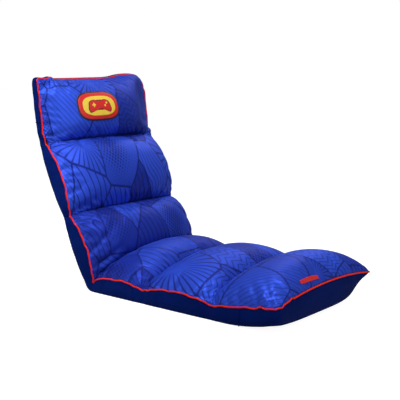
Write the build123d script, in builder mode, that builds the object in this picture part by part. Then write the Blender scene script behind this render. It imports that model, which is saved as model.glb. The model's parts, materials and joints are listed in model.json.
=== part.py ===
from build123d import *
import os
from math import asin, cos, degrees, radians, sin

# A folding floor chair. Three padded sections, seat, back and head, are carried by a steel tube frame
# and joined by four ratchet hinges. Lengths are in millimetres and angles in degrees.
# +Z is up, +X is the sitter's left, and the chair faces -Y. The origin is on the floor, at the middle
# of the chair's footprint.
#
# Each section is drawn in its own axes, which start at its lower hinge: "along" runs from the front
# edge towards the head, "height" stands on the section towards the sitter, and "across" is X.

# Overall sizes
CHAIR_WIDTH = 540.0
SEAT_LENGTH = 760.0
BACK_LENGTH = 510.0
HEAD_LENGTH = 240.0
HINGE_HEIGHT = 36.0
BACK_SLOPE_ANGLE = 65.0
NECK_BEND_ANGLE = 19.0

# Where the sewn creases cross the sections, measured from each section's lower hinge
SEAT_REAR_CREASE = 230.0
SEAT_FRONT_CREASE = 512.0
BACK_CREASE = 243.0

# Heights of the border's top edge above the hinge axes, at the creases and at each channel's middle
RECLINE_CREASE_EDGE = -6.0
SEAT_REAR_CREASE_EDGE = 3.0
SEAT_FRONT_CREASE_EDGE = 8.0
BACK_CREASE_EDGE = -12.0
NECK_CREASE_EDGE = -12.0
FRONT_EDGE = 45.0
HEAD_TOP_EDGE = -14.0
SEAT_REAR_EDGE = 24.0
SEAT_MIDDLE_EDGE = 28.0
SEAT_FRONT_EDGE = 30.0
BACK_LOWER_EDGE = 24.0
BACK_UPPER_EDGE = 20.0
HEAD_EDGE = -8.0

# Heights of the padding above the hinge axes
CREASE_HEIGHT = 25.0
SEAT_REAR_CROWN = 120.0
SEAT_MIDDLE_CROWN = 128.0
FRONT_CROWN = 146.0
FRONT_ARCH = 22.0
BACK_CROWN = 115.0
HEAD_CROWN = 94.0
PAD_BASE = -13.7
PAD_LIP = 3.0

# Cover cloth, its rounded ends and its piping
CLOTH = 1.5
FRONT_LIFT_LENGTH = 190.0
FRONT_LIFT_RADIUS = 640.0
FRONT_EDGE_RADIUS = 30.0
HEAD_EDGE_RADIUS = 20.0
CORNER_RADIUS = 20.0
PIPING_RADIUS = 3.0
PIPING_LIFT = 3.8

# Base foam under the channel pads
FOAM_TOP = -14.0
FOAM_HINGE_SPACE = 40.0
FOAM_FRONT_SPACE = 60.0

# Frame tubes
TUBE_DIAMETER = 18.0
CROSS_TUBE_DIAMETER = 16.0
TUBE_WALL = 1.2
TUBE_HEIGHT = -25.0
FRAME_INSET = 34.0
HEAD_FRAME_TOP = 195.0
BEND_RADIUS = 50.0
TUBE_START = 64.0
SEAT_CROSS_TUBES = (200.0, 420.0)
BACK_CROSS_TUBES = (140.0, 255.0, 370.0)

# Ratchet hinges: two cheeks on the lower section hold a toothed arm that belongs to the upper one
ARM_THICKNESS = 5.0
CHEEK_THICKNESS = 2.5
CHEEK_RADIUS = 24.0
HUB_RADIUS = 22.5
PIVOT_RADIUS = 4.0
PIVOT_HEAD_RADIUS = 7.5
PIVOT_HEAD_THICKNESS = 2.0
BRACKET_REACH = 62.0
BLOCK_LENGTH = 16.0
STUB_LENGTH = 42.0
TOOTH_COUNT = 7
TOOTH_PITCH_ANGLE = 13.0
TOOTH_DEPTH = 3.5
FIRST_TOOTH_ANGLE = 145.0
PAWL_THICKNESS = 4.6
PAWL_PIN_ALONG = -33.0
PAWL_PIN_HEIGHT = -12.0
PAWL_PIN_RADIUS = 2.5
PAWL_BOSS_RADIUS = 5.5
PAWL_NOSE_ANGLE = 226.3
PAWL_NOSE_RADIUS = 1.5
PAWL_HEAD_RADIUS = 4.5
PAWL_HEAD_THICKNESS = 1.5
SPRING_WIDTH = 4.0
SPRING_THICKNESS = 0.8
SPRING_SAG = 0.9

# Clearances
PIN_CLEARANCE = 0.05
CLEARANCE = 0.3
TUBE_SLOT_CLEARANCE = 0.4
PIPING_END_GAP = 4.0
PIPING_FOLD_GAP = 26.0
HINGE_TUNNEL_RADIUS = 28.0
HINGE_POCKET_SIDE = 4.0

# Share of the crown that a pad has at each share of its half width: full and square-shouldered on the
# seat and the back, lens-shaped on the head
PAD_STATIONS = ((0.0, 1.0), (0.55, 0.94), (0.85, 0.76), (0.95, 0.45), (1.0, 0.0))
HEAD_PAD_STATIONS = ((0.0, 1.0), (0.55, 0.82), (0.85, 0.50), (1.0, 0.0))

# Places worked out from the sizes above
HALF_WIDTH = CHAIR_WIDTH / 2
HINGE_ACROSS = HALF_WIDTH - FRAME_INSET
TUBE_RADIUS = TUBE_DIAMETER / 2
SEAT_FLAT = SEAT_LENGTH - FRONT_LIFT_LENGTH
SEAT_FRAME_FRONT = SEAT_FLAT
HEAD_SLOPE_ANGLE = BACK_SLOPE_ANGLE + NECK_BEND_ANGLE
PAD_INSET = CLOTH / 2 + PIPING_RADIUS + CLEARANCE
PAD_HALF_WIDTH = HALF_WIDTH - PAD_INSET
REAR_REACH = (
    BACK_LENGTH * cos(radians(BACK_SLOPE_ANGLE))
    + HEAD_LENGTH * cos(radians(HEAD_SLOPE_ANGLE))
    + HINGE_HEIGHT * sin(radians(HEAD_SLOPE_ANGLE))
)
RECLINE_AXIS = Vector(0, (SEAT_LENGTH - REAR_REACH) / 2, HINGE_HEIGHT)
BACK_DIRECTION = Vector(0, cos(radians(BACK_SLOPE_ANGLE)), sin(radians(BACK_SLOPE_ANGLE)))
NECK_AXIS = RECLINE_AXIS + BACK_DIRECTION * BACK_LENGTH


def side_plane(axis, slope):
    """Side view of a section: x is along it, y is its height, and the normal is +X."""
    along = (0, cos(radians(slope)), sin(radians(slope)))
    return Plane(origin=axis, x_dir=along, z_dir=(1, 0, 0))


def plan_plane(axis, slope):
    """Plan of a section: x is across, y is along it, and the normal is its height."""
    height = (0, -sin(radians(slope)), cos(radians(slope)))
    return Plane(origin=axis, x_dir=(1, 0, 0), z_dir=height)


SEAT_SIDE = side_plane(RECLINE_AXIS, 0)
SEAT_PLAN = plan_plane(RECLINE_AXIS, 0)
BACK_SIDE = side_plane(RECLINE_AXIS, BACK_SLOPE_ANGLE)
BACK_PLAN = plan_plane(RECLINE_AXIS, BACK_SLOPE_ANGLE)
NECK_SIDE = side_plane(NECK_AXIS, BACK_SLOPE_ANGLE)
HEAD_SIDE = side_plane(NECK_AXIS, HEAD_SLOPE_ANGLE)
HEAD_PLAN = plan_plane(NECK_AXIS, HEAD_SLOPE_ANGLE)


def mitre_plane(axis, lower_slope, upper_slope, towards_upper):
    """The plane that halves the angle between two sections, facing the section that is kept."""
    halfway = (lower_slope + 180 + upper_slope) / 2
    facing = radians(halfway - 90 if towards_upper else halfway + 90)
    normal = Vector(0, cos(facing), sin(facing))
    return Plane(origin=axis + normal * CLEARANCE, x_dir=(1, 0, 0), z_dir=normal)


def save(piece, name):
    """Labels a finished piece and writes its STEP file."""
    piece.part.label = name
    export_step(piece.part, f"parts/{name}.step")


# Outlines of the sections in side view

def on_circle(centre, radius, angle):
    """A point on a circle in a side view, with the angle counted from straight down towards the front."""
    return (centre[0] - radius * sin(radians(angle)), centre[1] - radius * cos(radians(angle)))


def draw_seat_underside(inset, hinge_end):
    """Draws the seat's underside and rounded front edge, moved inwards by inset; returns its two ends."""
    lift_centre = (-SEAT_FLAT, FRONT_LIFT_RADIUS - HINGE_HEIGHT)
    reach = SEAT_LENGTH - FRONT_EDGE_RADIUS - SEAT_FLAT
    lift = degrees(asin(reach / (FRONT_LIFT_RADIUS - FRONT_EDGE_RADIUS)))
    edge_centre = on_circle(lift_centre, FRONT_LIFT_RADIUS - FRONT_EDGE_RADIUS, lift)
    big, small = FRONT_LIFT_RADIUS - inset, FRONT_EDGE_RADIUS - inset
    first = (hinge_end, inset - HINGE_HEIGHT)
    Line(first, on_circle(lift_centre, big, 0))
    ThreePointArc(*[on_circle(lift_centre, big, lift * share) for share in (0, 0.5, 1)])
    ThreePointArc(*[on_circle(edge_centre, small, lift + (90 - lift) * share) for share in (0, 0.5, 1)])
    return first, on_circle(edge_centre, small, 90)


def draw_head_end(inset):
    """Draws the head's back and rounded top edge, moved inwards by inset; returns its two ends."""
    centre = (HEAD_LENGTH - HEAD_EDGE_RADIUS, HEAD_EDGE_RADIUS - HINGE_HEIGHT)
    radius = HEAD_EDGE_RADIUS - inset
    first = (inset, inset - HINGE_HEIGHT)
    Line(first, on_circle(centre, radius, 0))
    ThreePointArc(*[on_circle(centre, radius, angle) for angle in (0, -45, -90)])
    return first, on_circle(centre, radius, -90)


def draw_edge(start, middle, end, height=0.0):
    """Draws one channel's scalloped border edge, raised by height."""
    points = [(x, y + height) for x, y in (start, middle, end)]
    return ThreePointArc(*points)


SEAT_END = (-SEAT_LENGTH + CORNER_RADIUS, FRONT_EDGE)
HEAD_END = (HEAD_LENGTH - CORNER_RADIUS, HEAD_TOP_EDGE)
SEAT_EDGES = (
    (
        (-CLEARANCE, RECLINE_CREASE_EDGE),
        (-SEAT_REAR_CREASE / 2, SEAT_REAR_EDGE),
        (-SEAT_REAR_CREASE, SEAT_REAR_CREASE_EDGE),
    ),
    (
        (-SEAT_REAR_CREASE, SEAT_REAR_CREASE_EDGE),
        (-(SEAT_REAR_CREASE + SEAT_FRONT_CREASE) / 2, SEAT_MIDDLE_EDGE),
        (-SEAT_FRONT_CREASE, SEAT_FRONT_CREASE_EDGE),
    ),
    (
        (-SEAT_FRONT_CREASE, SEAT_FRONT_CREASE_EDGE),
        ((SEAT_END[0] - SEAT_FRONT_CREASE) / 2, SEAT_FRONT_EDGE),
        SEAT_END,
    ),
)
BACK_EDGES = (
    (
        (CLEARANCE, RECLINE_CREASE_EDGE),
        (BACK_CREASE / 2, BACK_LOWER_EDGE),
        (BACK_CREASE, BACK_CREASE_EDGE),
    ),
    (
        (BACK_CREASE, BACK_CREASE_EDGE),
        ((BACK_CREASE + BACK_LENGTH) / 2, BACK_UPPER_EDGE),
        (BACK_LENGTH - CLEARANCE, NECK_CREASE_EDGE),
    ),
)
HEAD_EDGES = (((CLEARANCE, NECK_CREASE_EDGE), (HEAD_END[0] / 2, HEAD_EDGE), HEAD_END),)


# Cover: a navy tray of cloth for each section, open towards the sitter

def rounded_plan(plan, near, far, inset, round_near, round_far):
    """Draws a section's plan, with its free corners rounded, on a plane below the section."""
    corners = [
        (-HALF_WIDTH + inset, near),
        (-HALF_WIDTH + inset, far),
        (HALF_WIDTH - inset, far),
        (HALF_WIDTH - inset, near),
    ]
    with BuildSketch(plan.offset(-2 * HINGE_HEIGHT)) as outline:
        with BuildLine():
            Polyline(*corners, close=True)
        make_face()
        by_along = outline.vertices().group_by(Axis(plan.origin, plan.y_dir))
        if round_near:
            fillet(by_along[0], CORNER_RADIUS - inset)
        if round_far:
            fillet(by_along[-1], CORNER_RADIUS - inset)
    return outline.sketch


SECTION_DEPTH = 2 * HINGE_HEIGHT + 3 * FRONT_CROWN


def seat_space(inset, hinge_end):
    """The space inside the seat's cover: everything above its underside, up past the padding."""
    top = 2 * FRONT_CROWN
    with BuildPart() as space:
        with BuildSketch(SEAT_SIDE.offset(inset - HALF_WIDTH)):
            with BuildLine():
                first, last = draw_seat_underside(inset, hinge_end)
                Polyline(last, (last[0], top), (hinge_end, top), first)
            make_face()
        extrude(amount=CHAIR_WIDTH - 2 * inset)
        plan = rounded_plan(SEAT_PLAN, -SEAT_LENGTH + inset, hinge_end, inset, True, False)
        extrude(plan, amount=SECTION_DEPTH, dir=SEAT_PLAN.z_dir, mode=Mode.INTERSECT)
    return space.part


def head_space(inset):
    """The space inside the head's cover: everything in front of its back, past the padding."""
    top = 2 * FRONT_CROWN
    with BuildPart() as space:
        with BuildSketch(HEAD_SIDE.offset(inset - HALF_WIDTH)):
            with BuildLine():
                first, last = draw_head_end(inset)
                Polyline(last, (last[0], top), (first[0], top), first)
            make_face()
        extrude(amount=CHAIR_WIDTH - 2 * inset)
        plan = rounded_plan(HEAD_PLAN, first[0], HEAD_LENGTH - inset, inset, False, True)
        extrude(plan, amount=SECTION_DEPTH, dir=HEAD_PLAN.z_dir, mode=Mode.INTERSECT)
    return space.part


def make_seat_cover():
    inside = seat_space(CLOTH, HINGE_HEIGHT)
    with BuildPart() as cover:
        with BuildSketch(SEAT_SIDE.offset(-HALF_WIDTH)):
            with BuildLine():
                first, last = draw_seat_underside(0, -CLEARANCE)
                Polyline(last, (-SEAT_LENGTH, FRONT_EDGE), SEAT_END)
                for edge in SEAT_EDGES:
                    draw_edge(*edge)
                Line(SEAT_EDGES[0][0], first)
            make_face()
        extrude(amount=CHAIR_WIDTH)
        plan = rounded_plan(SEAT_PLAN, -SEAT_LENGTH, HINGE_HEIGHT, 0, True, False)
        extrude(plan, amount=SECTION_DEPTH, dir=SEAT_PLAN.z_dir, mode=Mode.INTERSECT)
        add(inside, mode=Mode.SUBTRACT)
    save(cover, "seat_cover")


def make_back_cover():
    with BuildPart() as cover:
        with BuildSketch(BACK_SIDE.offset(-HALF_WIDTH)):
            with BuildLine():
                for edge in BACK_EDGES:
                    draw_edge(*edge)
                Polyline(
                    BACK_EDGES[-1][-1],
                    (BACK_LENGTH - CLEARANCE, -HINGE_HEIGHT),
                    (CLEARANCE, -HINGE_HEIGHT),
                    BACK_EDGES[0][0],
                )
            make_face()
        extrude(amount=CHAIR_WIDTH)
        with BuildSketch(BACK_PLAN.offset(CLOTH - HINGE_HEIGHT)):
            with Locations((0, BACK_LENGTH / 2)):
                Rectangle(CHAIR_WIDTH - 2 * CLOTH, BACK_LENGTH)
        extrude(amount=SECTION_DEPTH, mode=Mode.SUBTRACT)
    save(cover, "back_cover")


def make_head_cover():
    inside = head_space(CLOTH)
    with BuildPart() as cover:
        with BuildSketch(HEAD_SIDE.offset(-HALF_WIDTH)):
            with BuildLine():
                first, last = draw_head_end(0)
                Polyline(last, (HEAD_LENGTH, HEAD_TOP_EDGE), HEAD_END)
                for edge in HEAD_EDGES:
                    draw_edge(*edge)
                Line(HEAD_EDGES[0][0], first)
            make_face()
        extrude(amount=CHAIR_WIDTH)
        plan = rounded_plan(HEAD_PLAN, CLEARANCE, HEAD_LENGTH, 0, False, True)
        extrude(plan, amount=SECTION_DEPTH, dir=HEAD_PLAN.z_dir, mode=Mode.INTERSECT)
        add(inside, mode=Mode.SUBTRACT)
        with BuildSketch(HEAD_PLAN.offset(CLOTH - HINGE_HEIGHT)):
            Rectangle(CHAIR_WIDTH - 2 * CLOTH, 4 * CLOTH)
        extrude(amount=SECTION_DEPTH, mode=Mode.SUBTRACT)
    save(cover, "head_cover")


def make_hinge_band(name, side, bend):
    """The cloth that wraps round behind a hinge, between the ends of two covers."""
    start = -90.0
    with BuildPart() as band:
        for inset, mode in ((0.0, Mode.ADD), (CLOTH, Mode.SUBTRACT)):
            radius = HINGE_HEIGHT - inset
            with BuildSketch(side.offset(inset - HALF_WIDTH)):
                with BuildLine():
                    arc = CenterArc((0, 0), radius, start, bend)
                    Polyline(arc @ 1, (0, 0), arc @ 0)
                make_face()
            extrude(amount=CHAIR_WIDTH - 2 * inset, mode=mode)
    save(band, name)


# Padding: base foam with slots for the frame, and one crowned pad for each sewn channel

def cut_tube_slots(plan, path, cross_places):
    """Cuts the frame's slots into the underside of a foam slab, up to just above the tubes."""
    depth = TUBE_HEIGHT + TUBE_RADIUS + CLEARANCE + HINGE_HEIGHT
    with BuildSketch(plan.offset(-HINGE_HEIGHT)) as slots:
        for points in path:
            with BuildLine():
                FilletPolyline(*points, radius=BEND_RADIUS) if len(points) > 2 else Line(*points)
            trace(line_width=TUBE_DIAMETER + 2 * TUBE_SLOT_CLEARANCE)
        for place in cross_places:
            with Locations((0, place)):
                Rectangle(2 * HINGE_ACROSS, CROSS_TUBE_DIAMETER + 2 * TUBE_SLOT_CLEARANCE)
    extrude(slots.sketch, amount=depth, mode=Mode.SUBTRACT)


def cut_hinge_pockets(plan, place, length, low, high):
    """Cuts room for the hinge brackets at both sides of a soft piece."""
    width = ARM_THICKNESS + 2 * (CHEEK_THICKNESS + PIVOT_HEAD_THICKNESS + HINGE_POCKET_SIDE)
    with BuildSketch(plan.offset(low)) as pockets:
        with Locations((-HINGE_ACROSS, place), (HINGE_ACROSS, place)):
            Rectangle(width, length)
    extrude(pockets.sketch, amount=high - low, mode=Mode.SUBTRACT)


SEAT_FRAME_PATH = (
    (-HINGE_ACROSS, -TUBE_START),
    (-HINGE_ACROSS, -SEAT_FRAME_FRONT),
    (HINGE_ACROSS, -SEAT_FRAME_FRONT),
    (HINGE_ACROSS, -TUBE_START),
)
HEAD_FRAME_PATH = (
    (-HINGE_ACROSS, TUBE_START),
    (-HINGE_ACROSS, HEAD_FRAME_TOP),
    (HINGE_ACROSS, HEAD_FRAME_TOP),
    (HINGE_ACROSS, TUBE_START),
)
BACK_TUBE_PATHS = tuple(
    ((across, TUBE_START), (across, BACK_LENGTH - TUBE_START)) for across in (-HINGE_ACROSS, HINGE_ACROSS)
)
POCKET_LENGTH = TUBE_START + 4 * CLEARANCE


def make_seat_foam():
    inside = seat_space(CLOTH + CLEARANCE, -FOAM_HINGE_SPACE)
    with BuildPart() as foam:
        add(inside)
        split(bisect_by=SEAT_PLAN.offset(FOAM_TOP), keep=Keep.BOTTOM)
        cut_tube_slots(SEAT_PLAN, [SEAT_FRAME_PATH], [-place for place in SEAT_CROSS_TUBES])
        cut_hinge_pockets(SEAT_PLAN, -POCKET_LENGTH / 2, POCKET_LENGTH, -HINGE_HEIGHT, 0)
        front = Plane(SEAT_PLAN.origin + (0, FOAM_FRONT_SPACE - SEAT_LENGTH, 0), z_dir=(0, 1, 0))
        split(bisect_by=front, keep=Keep.TOP)
    save(foam, "seat_foam")


def make_back_foam():
    inset = CLOTH + CLEARANCE
    with BuildPart() as foam:
        with BuildSketch(BACK_PLAN.offset(inset - HINGE_HEIGHT)):
            with Locations((0, BACK_LENGTH / 2)):
                Rectangle(CHAIR_WIDTH - 2 * inset, BACK_LENGTH - 2 * FOAM_HINGE_SPACE)
        extrude(amount=FOAM_TOP + HINGE_HEIGHT - inset)
        cut_tube_slots(BACK_PLAN, BACK_TUBE_PATHS, BACK_CROSS_TUBES)
        for place in (POCKET_LENGTH / 2, BACK_LENGTH - POCKET_LENGTH / 2):
            cut_hinge_pockets(BACK_PLAN, place, POCKET_LENGTH, -HINGE_HEIGHT, 0)
    save(foam, "back_foam")


def make_head_foam():
    inside = head_space(CLOTH + CLEARANCE)
    with BuildPart() as foam:
        add(inside)
        split(bisect_by=HEAD_PLAN.offset(FOAM_TOP), keep=Keep.BOTTOM)
        cut_tube_slots(HEAD_PLAN, [HEAD_FRAME_PATH], [])
        cut_hinge_pockets(HEAD_PLAN, POCKET_LENGTH / 2, POCKET_LENGTH, -HINGE_HEIGHT, 0)
        lower = HEAD_PLAN.origin + HEAD_PLAN.y_dir * FOAM_HINGE_SPACE
        split(bisect_by=Plane(lower, z_dir=HEAD_PLAN.y_dir), keep=Keep.TOP)
    save(foam, "head_foam")


def loft_channel(side, edge, crease_heights, crown, stations=PAD_STATIONS):
    """Lofts one crowned channel across the chair: its ends follow the border's edge and its middle swells."""
    mirrored = [(-place, share) for place, share in reversed(stations[1:])]
    lip = PAD_BASE + PAD_LIP
    (start, start_edge), (middle, middle_edge), (end, end_edge) = [(x, max(y, lip)) for x, y in sorted(edge)]
    start, end = start + CLEARANCE, end - CLEARANCE
    sections = []
    for place, share in (*mirrored, *stations):
        start_height = start_edge + share * (crease_heights[0] - start_edge)
        middle_height = middle_edge + share * (crown - middle_edge)
        end_height = end_edge + share * (crease_heights[1] - end_edge)
        with BuildSketch(side.offset(place * PAD_HALF_WIDTH)) as section:
            with BuildLine():
                ThreePointArc((start, start_height), (middle, middle_height), (end, end_height))
                Polyline((end, end_height), (end, PAD_BASE), (start, PAD_BASE), (start, start_height))
            make_face()
        sections.append(section.sketch)
    loft(sections)


def cut_hinge_tunnel(side):
    """Cuts the hollow in which a hinge turns, right across a pad."""
    with BuildSketch(side.offset(-HALF_WIDTH)) as tunnel:
        Circle(HINGE_TUNNEL_RADIUS)
    extrude(tunnel.sketch, amount=CHAIR_WIDTH, mode=Mode.SUBTRACT)


POCKET_TOP = CHEEK_RADIUS - 8 * CLEARANCE


def make_seat_pads():
    creases = (CREASE_HEIGHT, CREASE_HEIGHT)
    with BuildPart() as rear:
        loft_channel(SEAT_SIDE, SEAT_EDGES[0], creases, SEAT_REAR_CROWN)
        split(bisect_by=mitre_plane(RECLINE_AXIS, 0, BACK_SLOPE_ANGLE, False), keep=Keep.TOP)
        cut_hinge_tunnel(SEAT_SIDE)
        cut_hinge_pockets(SEAT_PLAN, -POCKET_LENGTH / 2, POCKET_LENGTH, PAD_BASE - CLEARANCE, POCKET_TOP)
    save(rear, "seat_rear_channel")
    with BuildPart() as middle:
        loft_channel(SEAT_SIDE, SEAT_EDGES[1], creases, SEAT_MIDDLE_CROWN)
    save(middle, "seat_middle_channel")
    front_edge = (SEAT_EDGES[2][0], SEAT_EDGES[2][1], (-SEAT_LENGTH + PAD_INSET, FRONT_EDGE))
    inside = seat_space(PAD_INSET, 0)
    with BuildPart() as front:
        loft_channel(SEAT_SIDE, front_edge, (FRONT_EDGE + FRONT_ARCH, CREASE_HEIGHT), FRONT_CROWN)
        add(inside, mode=Mode.INTERSECT)
    save(front, "seat_front_channel")


def make_back_pads():
    creases = (CREASE_HEIGHT, CREASE_HEIGHT)
    with BuildPart() as lower:
        loft_channel(BACK_SIDE, BACK_EDGES[0], creases, BACK_CROWN)
        split(bisect_by=mitre_plane(RECLINE_AXIS, 0, BACK_SLOPE_ANGLE, True), keep=Keep.TOP)
        cut_hinge_tunnel(BACK_SIDE)
        cut_hinge_pockets(BACK_PLAN, POCKET_LENGTH / 2, POCKET_LENGTH, PAD_BASE - CLEARANCE, POCKET_TOP)
    save(lower, "back_lower_channel")
    with BuildPart() as upper:
        loft_channel(BACK_SIDE, BACK_EDGES[1], creases, BACK_CROWN)
        split(bisect_by=mitre_plane(NECK_AXIS, BACK_SLOPE_ANGLE, HEAD_SLOPE_ANGLE, False), keep=Keep.TOP)
        cut_hinge_tunnel(NECK_SIDE)
        place = BACK_LENGTH - POCKET_LENGTH / 2
        cut_hinge_pockets(BACK_PLAN, place, POCKET_LENGTH, PAD_BASE - CLEARANCE, POCKET_TOP)
    save(upper, "back_upper_channel")


def make_head_pad():
    edge = (HEAD_EDGES[0][0], HEAD_EDGES[0][1], (HEAD_LENGTH - PAD_INSET, HEAD_TOP_EDGE))
    inside = head_space(PAD_INSET)
    with BuildPart() as pad:
        loft_channel(HEAD_SIDE, edge, (CREASE_HEIGHT, -PAD_INSET), HEAD_CROWN, HEAD_PAD_STATIONS)
        add(inside, mode=Mode.INTERSECT)
        split(bisect_by=mitre_plane(NECK_AXIS, BACK_SLOPE_ANGLE, HEAD_SLOPE_ANGLE, True), keep=Keep.TOP)
        cut_hinge_tunnel(HEAD_SIDE)
        cut_hinge_pockets(HEAD_PLAN, POCKET_LENGTH / 2, POCKET_LENGTH, PAD_BASE - CLEARANCE, POCKET_TOP)
    save(pad, "head_channel")


# Piping: a corded edge that sits on the border's top edge

def sweep_cord(path):
    """Sweeps the piping's round section along an edge or wire."""
    with BuildSketch(Plane(origin=path @ 0, z_dir=path % 0)) as cord:
        Circle(PIPING_RADIUS)
    sweep(cord.sketch, path=path)


def pipe_side_edges(side, edges, hinge_gap):
    """Lays piping along each channel's edge, at both sides of a section, starting at a gap from its hinge."""
    for edge in edges:
        start_gap = hinge_gap if edge is edges[0] else PIPING_END_GAP
        for across in (-HALF_WIDTH + CLOTH / 2, HALF_WIDTH - CLOTH / 2):
            with BuildLine(side.offset(across), mode=Mode.PRIVATE) as scallop:
                whole = draw_edge(*edge, height=PIPING_LIFT)
            ends = (start_gap / whole.length, 1 - PIPING_END_GAP / whole.length)
            sweep_cord(scallop.line.edge().trim(*ends))


def pipe_end(plan, along, height, outwards):
    """Lays piping along a section's free end and round its two corners."""
    across = HALF_WIDTH - CLOTH / 2
    end = along - outwards * CLOTH / 2
    shoulder = along - outwards * CORNER_RADIUS
    points = ((-across, shoulder), (-across, end), (across, end), (across, shoulder))
    with BuildLine(plan.offset(height + PIPING_LIFT), mode=Mode.PRIVATE) as rim:
        FilletPolyline(*points, radius=CORNER_RADIUS - 2 * CLOTH)
    sweep_cord(rim.wire())


def make_piping():
    with BuildPart() as seat:
        pipe_side_edges(SEAT_SIDE, SEAT_EDGES, PIPING_FOLD_GAP)
        pipe_end(SEAT_PLAN, -SEAT_LENGTH, FRONT_EDGE, -1)
    save(seat, "seat_piping")
    with BuildPart() as back:
        pipe_side_edges(BACK_SIDE, BACK_EDGES, PIPING_FOLD_GAP)
    save(back, "back_piping")
    with BuildPart() as head:
        pipe_side_edges(HEAD_SIDE, HEAD_EDGES, PIPING_END_GAP)
        pipe_end(HEAD_PLAN, HEAD_LENGTH, HEAD_TOP_EDGE, 1)
    save(head, "head_piping")


# Steel frame

def sweep_tube(plan, points, name):
    """A bent or straight tube in a section's plan."""
    with BuildLine(plan.offset(TUBE_HEIGHT), mode=Mode.PRIVATE) as path:
        FilletPolyline(*points, radius=BEND_RADIUS) if len(points) > 2 else Line(*points)
    route = path.wire()
    with BuildPart() as tube:
        for radius, mode in ((TUBE_RADIUS, Mode.ADD), (TUBE_RADIUS - TUBE_WALL, Mode.SUBTRACT)):
            with BuildSketch(Plane(origin=route @ 0, z_dir=route % 0)):
                Circle(radius)
            sweep(path=route, mode=mode)
    save(tube, name)


def make_cross_tubes(side, places, name):
    """Tubes across a section, coped to sit against its side tubes."""
    radius = CROSS_TUBE_DIAMETER / 2
    with BuildPart() as tubes:
        with BuildSketch(side.offset(-HINGE_ACROSS)):
            with Locations(*[(place, TUBE_HEIGHT) for place in places]):
                Circle(radius)
                Circle(radius - TUBE_WALL, mode=Mode.SUBTRACT)
        extrude(amount=2 * HINGE_ACROSS)
        cope = Plane(side.origin, x_dir=(1, 0, 0), z_dir=side.x_dir)
        first = min(places) - CROSS_TUBE_DIAMETER
        with BuildSketch(cope.offset(first)):
            with Locations((-HINGE_ACROSS, -TUBE_HEIGHT), (HINGE_ACROSS, -TUBE_HEIGHT)):
                Circle(TUBE_RADIUS + CLEARANCE / 2)
        extrude(amount=max(places) + CROSS_TUBE_DIAMETER - first, mode=Mode.SUBTRACT)
    save(tubes, name)


def make_frame():
    sweep_tube(SEAT_PLAN, SEAT_FRAME_PATH, "seat_frame_tube")
    make_cross_tubes(SEAT_SIDE, [-place for place in SEAT_CROSS_TUBES], "seat_cross_tubes")
    sweep_tube(BACK_PLAN, BACK_TUBE_PATHS[0], "back_side_tube_right")
    sweep_tube(BACK_PLAN, BACK_TUBE_PATHS[1], "back_side_tube_left")
    make_cross_tubes(BACK_SIDE, BACK_CROSS_TUBES, "back_cross_tubes")
    sweep_tube(HEAD_PLAN, HEAD_FRAME_PATH, "head_frame_tube")


# Ratchet hinges

BLOCK_HALF_HEIGHT = TUBE_RADIUS - TUBE_WALL - CLEARANCE / 2
PAWL_NOSE_DISTANCE = HUB_RADIUS + CLEARANCE + PAWL_NOSE_RADIUS + CLEARANCE
PAWL_NOSE = (
    PAWL_NOSE_DISTANCE * cos(radians(PAWL_NOSE_ANGLE)),
    PAWL_NOSE_DISTANCE * sin(radians(PAWL_NOSE_ANGLE)),
)
PAWL_PIN = (PAWL_PIN_ALONG, PAWL_PIN_HEIGHT)


def draw_bracket(reach, hub_radius):
    """Draws a hinge plate: a round hub, tapering to the end of the tube it is fixed to."""
    end = BRACKET_REACH * reach
    CenterArc((0, 0), hub_radius, 0, 360)
    Line((end, TUBE_HEIGHT - BLOCK_HALF_HEIGHT), (end, TUBE_HEIGHT + BLOCK_HALF_HEIGHT))


def add_stub(plan, side_sign, across):
    """The round stub that plugs into a tube's end."""
    start = Vector(plan.origin) + plan.z_dir * TUBE_HEIGHT + plan.x_dir * across
    from_hinge = plan.y_dir * side_sign
    with BuildSketch(Plane(start + from_hinge * (BRACKET_REACH - BLOCK_LENGTH), z_dir=from_hinge)) as end:
        Circle(BLOCK_HALF_HEIGHT)
    extrude(end.sketch, amount=BLOCK_LENGTH + STUB_LENGTH)


def make_cheeks(name, side, plan, across):
    """Two cheek plates, joined by a block, with a stub for the lower section's tube."""
    inside = ARM_THICKNESS / 2 + CLEARANCE
    with BuildPart() as cheeks:
        for first in (across - inside - CHEEK_THICKNESS, across + inside):
            with BuildSketch(side.offset(first)):
                with BuildLine():
                    draw_bracket(-1, CHEEK_RADIUS)
                make_hull()
                Circle(PIVOT_RADIUS + PIN_CLEARANCE, mode=Mode.SUBTRACT)
                with Locations(PAWL_PIN):
                    Circle(PAWL_PIN_RADIUS + PIN_CLEARANCE, mode=Mode.SUBTRACT)
            extrude(amount=CHEEK_THICKNESS)
        with BuildSketch(side.offset(across - inside)):
            with Locations((BLOCK_LENGTH / 2 - BRACKET_REACH, TUBE_HEIGHT)):
                Rectangle(BLOCK_LENGTH, 2 * BLOCK_HALF_HEIGHT)
        extrude(amount=2 * inside)
        add_stub(plan, -1, across)
    save(cheeks, name)


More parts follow.
